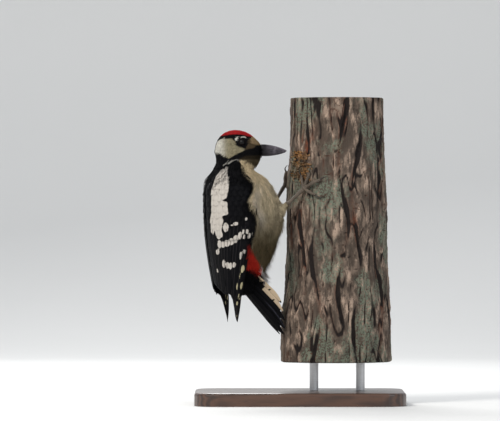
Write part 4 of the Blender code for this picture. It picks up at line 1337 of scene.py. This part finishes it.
@cache
def coat_paint():
    paint = Paint("coat")
    tint, streak = paint.colour("plumage"), paint.noise(900, 2, (1, 1, 0.25))
    dull = paint.mix(1.0, tint, (0.8, 0.78, 0.76), "MULTIPLY")
    hue = paint.mix(paint.span(streak, 0.3, 0.65), dull, tint)
    return paint.finish(hue, paint.span(streak, 0.2, 0.8, 0.5, 0.75), 0.08, paint.barbs()[0], 0.00006)


@cache
def quill_paint():
    paint = Paint("quill")
    wave, off = paint.barbs()
    rag, streak = paint.noise(900, 2, (1, 1, 0.6)), paint.noise(700, 3, (1, 1, 0.2))
    mark = paint.maths("ADD", paint.number("mark"), paint.maths("MULTIPLY_ADD", rag, 1.1, -0.55))
    plain = paint.mix(
        paint.span(streak, 0.35, 0.7, 0.0, 0.4), paint.colour("plumage"), (0.006, 0.006, 0.007)
    )
    marked = paint.mix(
        paint.span(streak, 0.35, 0.75, 0.0, 0.25), paint.colour("mark_colour"), (0.3, 0.27, 0.22)
    )
    shaft = paint.span(off, 0.035, 0.015)
    shade = paint.maths("MULTIPLY", shaft, paint.number("shaft_tone"))
    hue = paint.mix(shade, paint.mix(paint.span(mark, 0.12, -0.12), plain, marked), (0.022, 0.02, 0.02))
    height = paint.maths("MULTIPLY_ADD", shaft, 1.5, wave)
    return paint.finish(hue, paint.span(streak, 0.2, 0.8, 0.38, 0.6), 0.06, height, 0.00005)


@cache
def horn_paint(kind):
    paint = Paint(kind)
    hue = colours().horn if kind == "bill" else colours().claw
    along, cloud = paint.noise(900, 4, (0.25, 1, 1)), paint.noise(160, 3)
    tint = paint.mix(paint.span(along, 0.3, 0.7), times(hue, 0.45), hue)
    tint = paint.mix(paint.span(cloud, 0.5, 0.72, 0.0, 0.6), tint, times(hue, 2.3))
    if kind == "bill":
        # The bill's painted ridge highlight and darker base come from its shade attribute.
        tint = paint.mix(1.0, tint, paint.colour("shade"), "MULTIPLY")
    return paint.finish(tint, paint.span(along, 0.25, 0.75, 0.34, 0.5), 0.14, along, 0.00012)


@cache
def eye_paint():
    paint = Paint("eye")
    reach, iris = paint.number("from_axis"), colours().iris
    hue = paint.mix(paint.noise(2600, 2), times(iris, 0.6), times(iris, 1.7))
    hue = paint.mix(paint.span(reach, 1.8, 2.0), (0.002, 0.002, 0.002), hue)
    hue = paint.mix(paint.span(reach, 2.5, 2.8), hue, (0.006, 0.005, 0.005))
    return paint.finish(hue, paint.span(reach, 2.2, 3.0, 0.05, 0.16), 0.3, IOR=1.38)


@cache
def scale_paint():
    paint = Paint("scales")
    hue, cloud = colours().leg, paint.noise(260, 3)
    cells = {"Vector": paint.here((1, 1, 1.4)), "Scale": 1100}
    edge = paint.span(paint.add("TexVoronoi", cells, feature="DISTANCE_TO_EDGE")[0], 0.0, 0.12)
    tint = paint.mix(paint.span(cloud, 0.3, 0.7), times(hue, 0.6), hue)
    tint = paint.mix(edge, times(hue, 0.55), tint)
    return paint.finish(tint, paint.span(cloud, 0.3, 0.7, 0.45, 0.65), height=edge, depth=0.00018)


@cache
def bark_paint():
    paint, hues = Paint("bark"), colours()
    crack, tone = paint.number("crack"), paint.number("tone")
    fibre, broad = paint.noise(420, 6, (1, 1, 0.28), 0.65), paint.noise(150, 5, (1, 1, 0.35), 0.6)
    speck, shadow = paint.noise(620, 4, roughness=0.65), paint.noise(62, 2, (1, 1, 0.4))
    plate = paint.mix(paint.span(tone, 0.25, 0.75), times(hues.bark, 0.5), times(hues.bark, 2.05))
    plate = paint.mix(paint.span(broad, 0.54, 0.44, 0.0, 0.6), plate, times(hues.bark, 0.36))
    plate = paint.mix(paint.span(fibre, 0.52, 0.42, 0.0, 0.75), plate, times(hues.bark, 0.26))
    rusty = paint.maths("MULTIPLY", paint.number("rust"), paint.span(speck, 0.3, 0.6, 0.3, 0.9))
    inner = paint.mix(paint.span(fibre, 0.35, 0.65), times(hues.rust, 0.5), hues.rust)
    plate = paint.mix(paint.number("golden"), paint.mix(rusty, plate, inner), hues.golden)
    plate = paint.mix(paint.span(shadow, 0.52, 0.4, 0.0, 0.5), plate, times(hues.bark, 0.3))
    cloud = paint.span(paint.noise(30, 4, (1, 1, 0.6)), 0.49, 0.57)
    lichen = paint.maths("MULTIPLY", cloud, paint.span(speck, 0.46, 0.52))
    plate = paint.mix(paint.maths("MULTIPLY", lichen, 0.75), plate, hues.lichen)
    # The fissure colour is partly the bark's own and partly painted shade in the hollows.
    torn = paint.maths("ADD", crack, paint.maths("MULTIPLY_ADD", fibre, 0.5, -0.25))
    shown = paint.mix(paint.span(torn, 0.05, 0.55), plate, hues.fissure_and_shade)
    # Cut ends: growth rings round the trunk's axis, with bark at the rim.
    place = paint.here(Location=(-TRUNK_AXIS[0] * MM, -TRUNK_AXIS[1] * MM, 0))
    rings = paint.grain("Z", place, 90, 5.0, 3.0, 1.2, "RINGS")
    wood = paint.mix(paint.span(rings, 0.2, 0.9, 0.0, 0.55), hues.wood, times(hues.wood, 0.45))
    wood = paint.mix(paint.span(speck, 0.4, 0.7, 0.0, 0.25), wood, times(hues.wood, 0.5))
    x, y, _ = paint.add("SeparateXYZ", {"Vector": place})
    squares = [paint.maths("POWER", v, 2.0) for v in (x, y)]
    reach = paint.maths("SQRT", paint.maths("ADD", *squares))
    normal = paint.add("SeparateXYZ", {"Vector": paint.add("NewGeometry")["True Normal"]})
    upright = paint.span(paint.maths("ABSOLUTE", normal[2]), 0.8, 0.95)
    cut = paint.maths("MULTIPLY", upright, paint.span(reach, 0.0385, 0.0375))
    rough = paint.span(fibre, 0.2, 0.8, 0.78, 0.95)
    height = paint.maths("MULTIPLY_ADD", speck, 0.4, fibre)
    return paint.finish(paint.mix(cut, shown, wood), rough, 0.25, height, 0.0009)


def stand_paint():
    paint, hue = Paint("stand_wood"), colours().stand
    grain = paint.grain("Y", paint.here((0.12, 1, 1)), 75, 7, 4, 1.4)
    pores = paint.noise(900, 3, (0.04, 1, 1))
    tint = paint.mix(grain, times(hue, 0.55), times(hue, 1.5))
    tint = paint.mix(paint.span(pores, 0.62, 0.7, 0.0, 0.6), tint, times(hue, 0.3))
    lacquer = {"Coat Weight": 0.35, "Coat Roughness": 0.2}
    rough = paint.span(grain, 0.0, 1.0, 0.3, 0.42)
    return paint.finish(tint, rough, 0.5, pores, 0.00015, 0.6, **lacquer)


def steel_paint():
    paint = Paint("stand_steel")
    brushed = paint.noise(60, 3, (1, 1, 40))
    hue = paint.mix(brushed, (0.38, 0.38, 0.39), (0.62, 0.62, 0.62))
    return paint.finish(hue, paint.span(brushed, 0.2, 0.8, 0.26, 0.42), 0.5, brushed, 0.00004, Metallic=1.0)


def floor_paint():
    paint, hue = Paint("floor"), colours().floor
    return paint.finish(paint.mix(paint.noise(6, 3), times(hue, 0.97), hue), 0.9)


# ---- stage


def make_backdrop():
    """A pale floor that curves up a little behind the model."""
    profile = [(FLOOR_FRONT, 0.0), (FLOOR_BACK, 0.0)]
    for k in range(1, 13):
        angle = math.radians(68) * k / 12
        profile.append((FLOOR_BACK + 0.8 * math.sin(angle), 0.8 * (1 - math.cos(angle))))
    shape = bmesh.new()
    rows = len(profile) - 1
    bmesh.ops.create_grid(shape, x_segments=1, y_segments=rows, size=1)
    for vert in shape.verts:
        vert.co = (3.0 * vert.co.x, *profile[round((vert.co.y + 1) / 2 * rows)])
    sweep = bpy.data.objects.new("backdrop", from_bmesh(shape, "backdrop"))
    sweep.data.materials.append(floor_paint())
    bpy.context.scene.collection.objects.link(sweep)


def make_stage():
    """Backdrop, soft lights and the camera."""
    make_backdrop()
    scene, wanted = bpy.context.scene, sizes()
    scene.world = bpy.data.worlds.new("studio")
    scene.world.use_nodes = True
    backing = scene.world.node_tree.nodes["Background"]
    backing.inputs["Color"].default_value = (0.92, 0.95, 1.0, 1.0)
    backing.inputs["Strength"].default_value = 0.62
    for name, place, target, size, power, tint in LIGHTS:
        light = bpy.data.lights.new(name, "AREA")
        light.size, light.energy, light.color = size, power, tint
        lamp = bpy.data.objects.new(name, light)
        lamp.location = place
        lamp.rotation_euler = (Vector(target) - Vector(place)).to_track_quat("-Z", "Y").to_euler()
        scene.collection.objects.link(lamp)
    lens = bpy.data.cameras.new("camera")
    lens.sensor_width = 36.0
    lens.lens = lens.sensor_width * wanted.camera_distance / wanted.frame_width
    lens.clip_end = 50
    camera = bpy.data.objects.new("camera", lens)
    camera.location = (-0.045, -0.022 - wanted.camera_distance, 0.175)
    camera.rotation_euler = (math.pi / 2, 0, 0)
    scene.collection.objects.link(camera)
    scene.camera = camera
    scene.view_settings.view_transform = "Standard"


# ---- operators and panel


class BuildSkin(bpy.types.Operator):
    """Make the one skin of head, neck, body and thighs."""

    bl_idname = "woodpecker.skin"
    bl_label = "Skin"

    def execute(self, context):
        make_skin()
        return {"FINISHED"}


class BuildCoat(bpy.types.Operator):
    """Root the small feathers and the down on the skin."""

    bl_idname = "woodpecker.coat"
    bl_label = "Coat"

    def execute(self, context):
        make_coat()
        return {"FINISHED"}


class BuildWings(bpy.types.Operator):
    """Lay the quills, coverts and shoulder feathers of both folded wings."""

    bl_idname = "woodpecker.wings"
    bl_label = "Wings"

    def execute(self, context):
        for label, side in SIDES.items():
            for kind, slot, nodes in TRACTS:
                make_wing_group(kind, slot, label, side, nodes)
        return {"FINISHED"}


class BuildTail(bpy.types.Operator):
    """Make the five pairs of stiff tail feathers."""

    bl_idname = "woodpecker.tail"
    bl_label = "Tail"

    def execute(self, context):
        for label, side in SIDES.items():
            make_tail(label, side)
        return {"FINISHED"}


class BuildBill(bpy.types.Operator):
    """Make both halves of the bill."""

    bl_idname = "woodpecker.bill"
    bl_label = "Bill"

    def execute(self, context):
        make_bill()
        return {"FINISHED"}


class BuildEyes(bpy.types.Operator):
    """Make both eyes."""

    bl_idname = "woodpecker.eyes"
    bl_label = "Eyes"

    def execute(self, context):
        for label, side in SIDES.items():
            make_eye(label, side)
        return {"FINISHED"}


class BuildFeet(bpy.types.Operator):
    """Make shanks, feet and claws."""

    bl_idname = "woodpecker.feet"
    bl_label = "Feet"

    def execute(self, context):
        for label, side in SIDES.items():
            make_foot(label, side)
        return {"FINISHED"}


class BuildTrunk(bpy.types.Operator):
    """Make the cut length of trunk with its bark."""

    bl_idname = "woodpecker.trunk"
    bl_label = "Trunk"

    def execute(self, context):
        make_trunk()
        make_curls()
        return {"FINISHED"}


class FinishStand(bpy.types.Operator):
    """Give the base its wood and the rods their steel."""

    bl_idname = "woodpecker.stand"
    bl_label = "Stand"

    def execute(self, context):
        wood, steel = stand_paint(), steel_paint()
        for name, finish in (("stand_base", wood), ("stand_rod_left", steel), ("stand_rod_right", steel)):
            for slot in NODES[name].material_slots:
                slot.material = finish
        return {"FINISHED"}


class BuildStage(bpy.types.Operator):
    """Set out the floor, backdrop, lights and camera."""

    bl_idname = "woodpecker.stage"
    bl_label = "Stage"

    def execute(self, context):
        make_stage()
        return {"FINISHED"}


class WoodpeckerPanel(bpy.types.Panel):
    """Lists the pieces of the woodpecker and what may be changed on them."""

    bl_idname = "VIEW3D_PT_woodpecker"
    bl_label = "Woodpecker"
    bl_space_type = "VIEW_3D"
    bl_region_type = "UI"
    bl_category = "Woodpecker"

    def draw(self, context):
        for step in STEPS:
            self.layout.operator(step.bl_idname)
        for group in (sizes(), colours()):
            box = self.layout.box()
            for name in group.bl_rna.properties.keys():
                if name not in {"rna_type", "name"}:
                    box.prop(group, name)


STEPS = (
    BuildSkin, BuildCoat, BuildWings, BuildTail, BuildBill, BuildEyes, BuildFeet, BuildTrunk,
    FinishStand, BuildStage,
)
CLASSES = (WoodpeckerColours, WoodpeckerSizes, *STEPS, WoodpeckerPanel)


def register():
    for item in CLASSES:
        bpy.utils.register_class(item)
    bpy.types.Scene.woodpecker_colours = bpy.props.PointerProperty(type=WoodpeckerColours)
    bpy.types.Scene.woodpecker_sizes = bpy.props.PointerProperty(type=WoodpeckerSizes)


def unregister():
    del bpy.types.Scene.woodpecker_sizes
    del bpy.types.Scene.woodpecker_colours
    for item in reversed(CLASSES):
        bpy.utils.unregister_class(item)


def main():
    register()
    for step in STEPS:
        group, name = step.bl_idname.split(".")
        getattr(getattr(bpy.ops, group), name)()


if __name__ == "__main__":
    main()
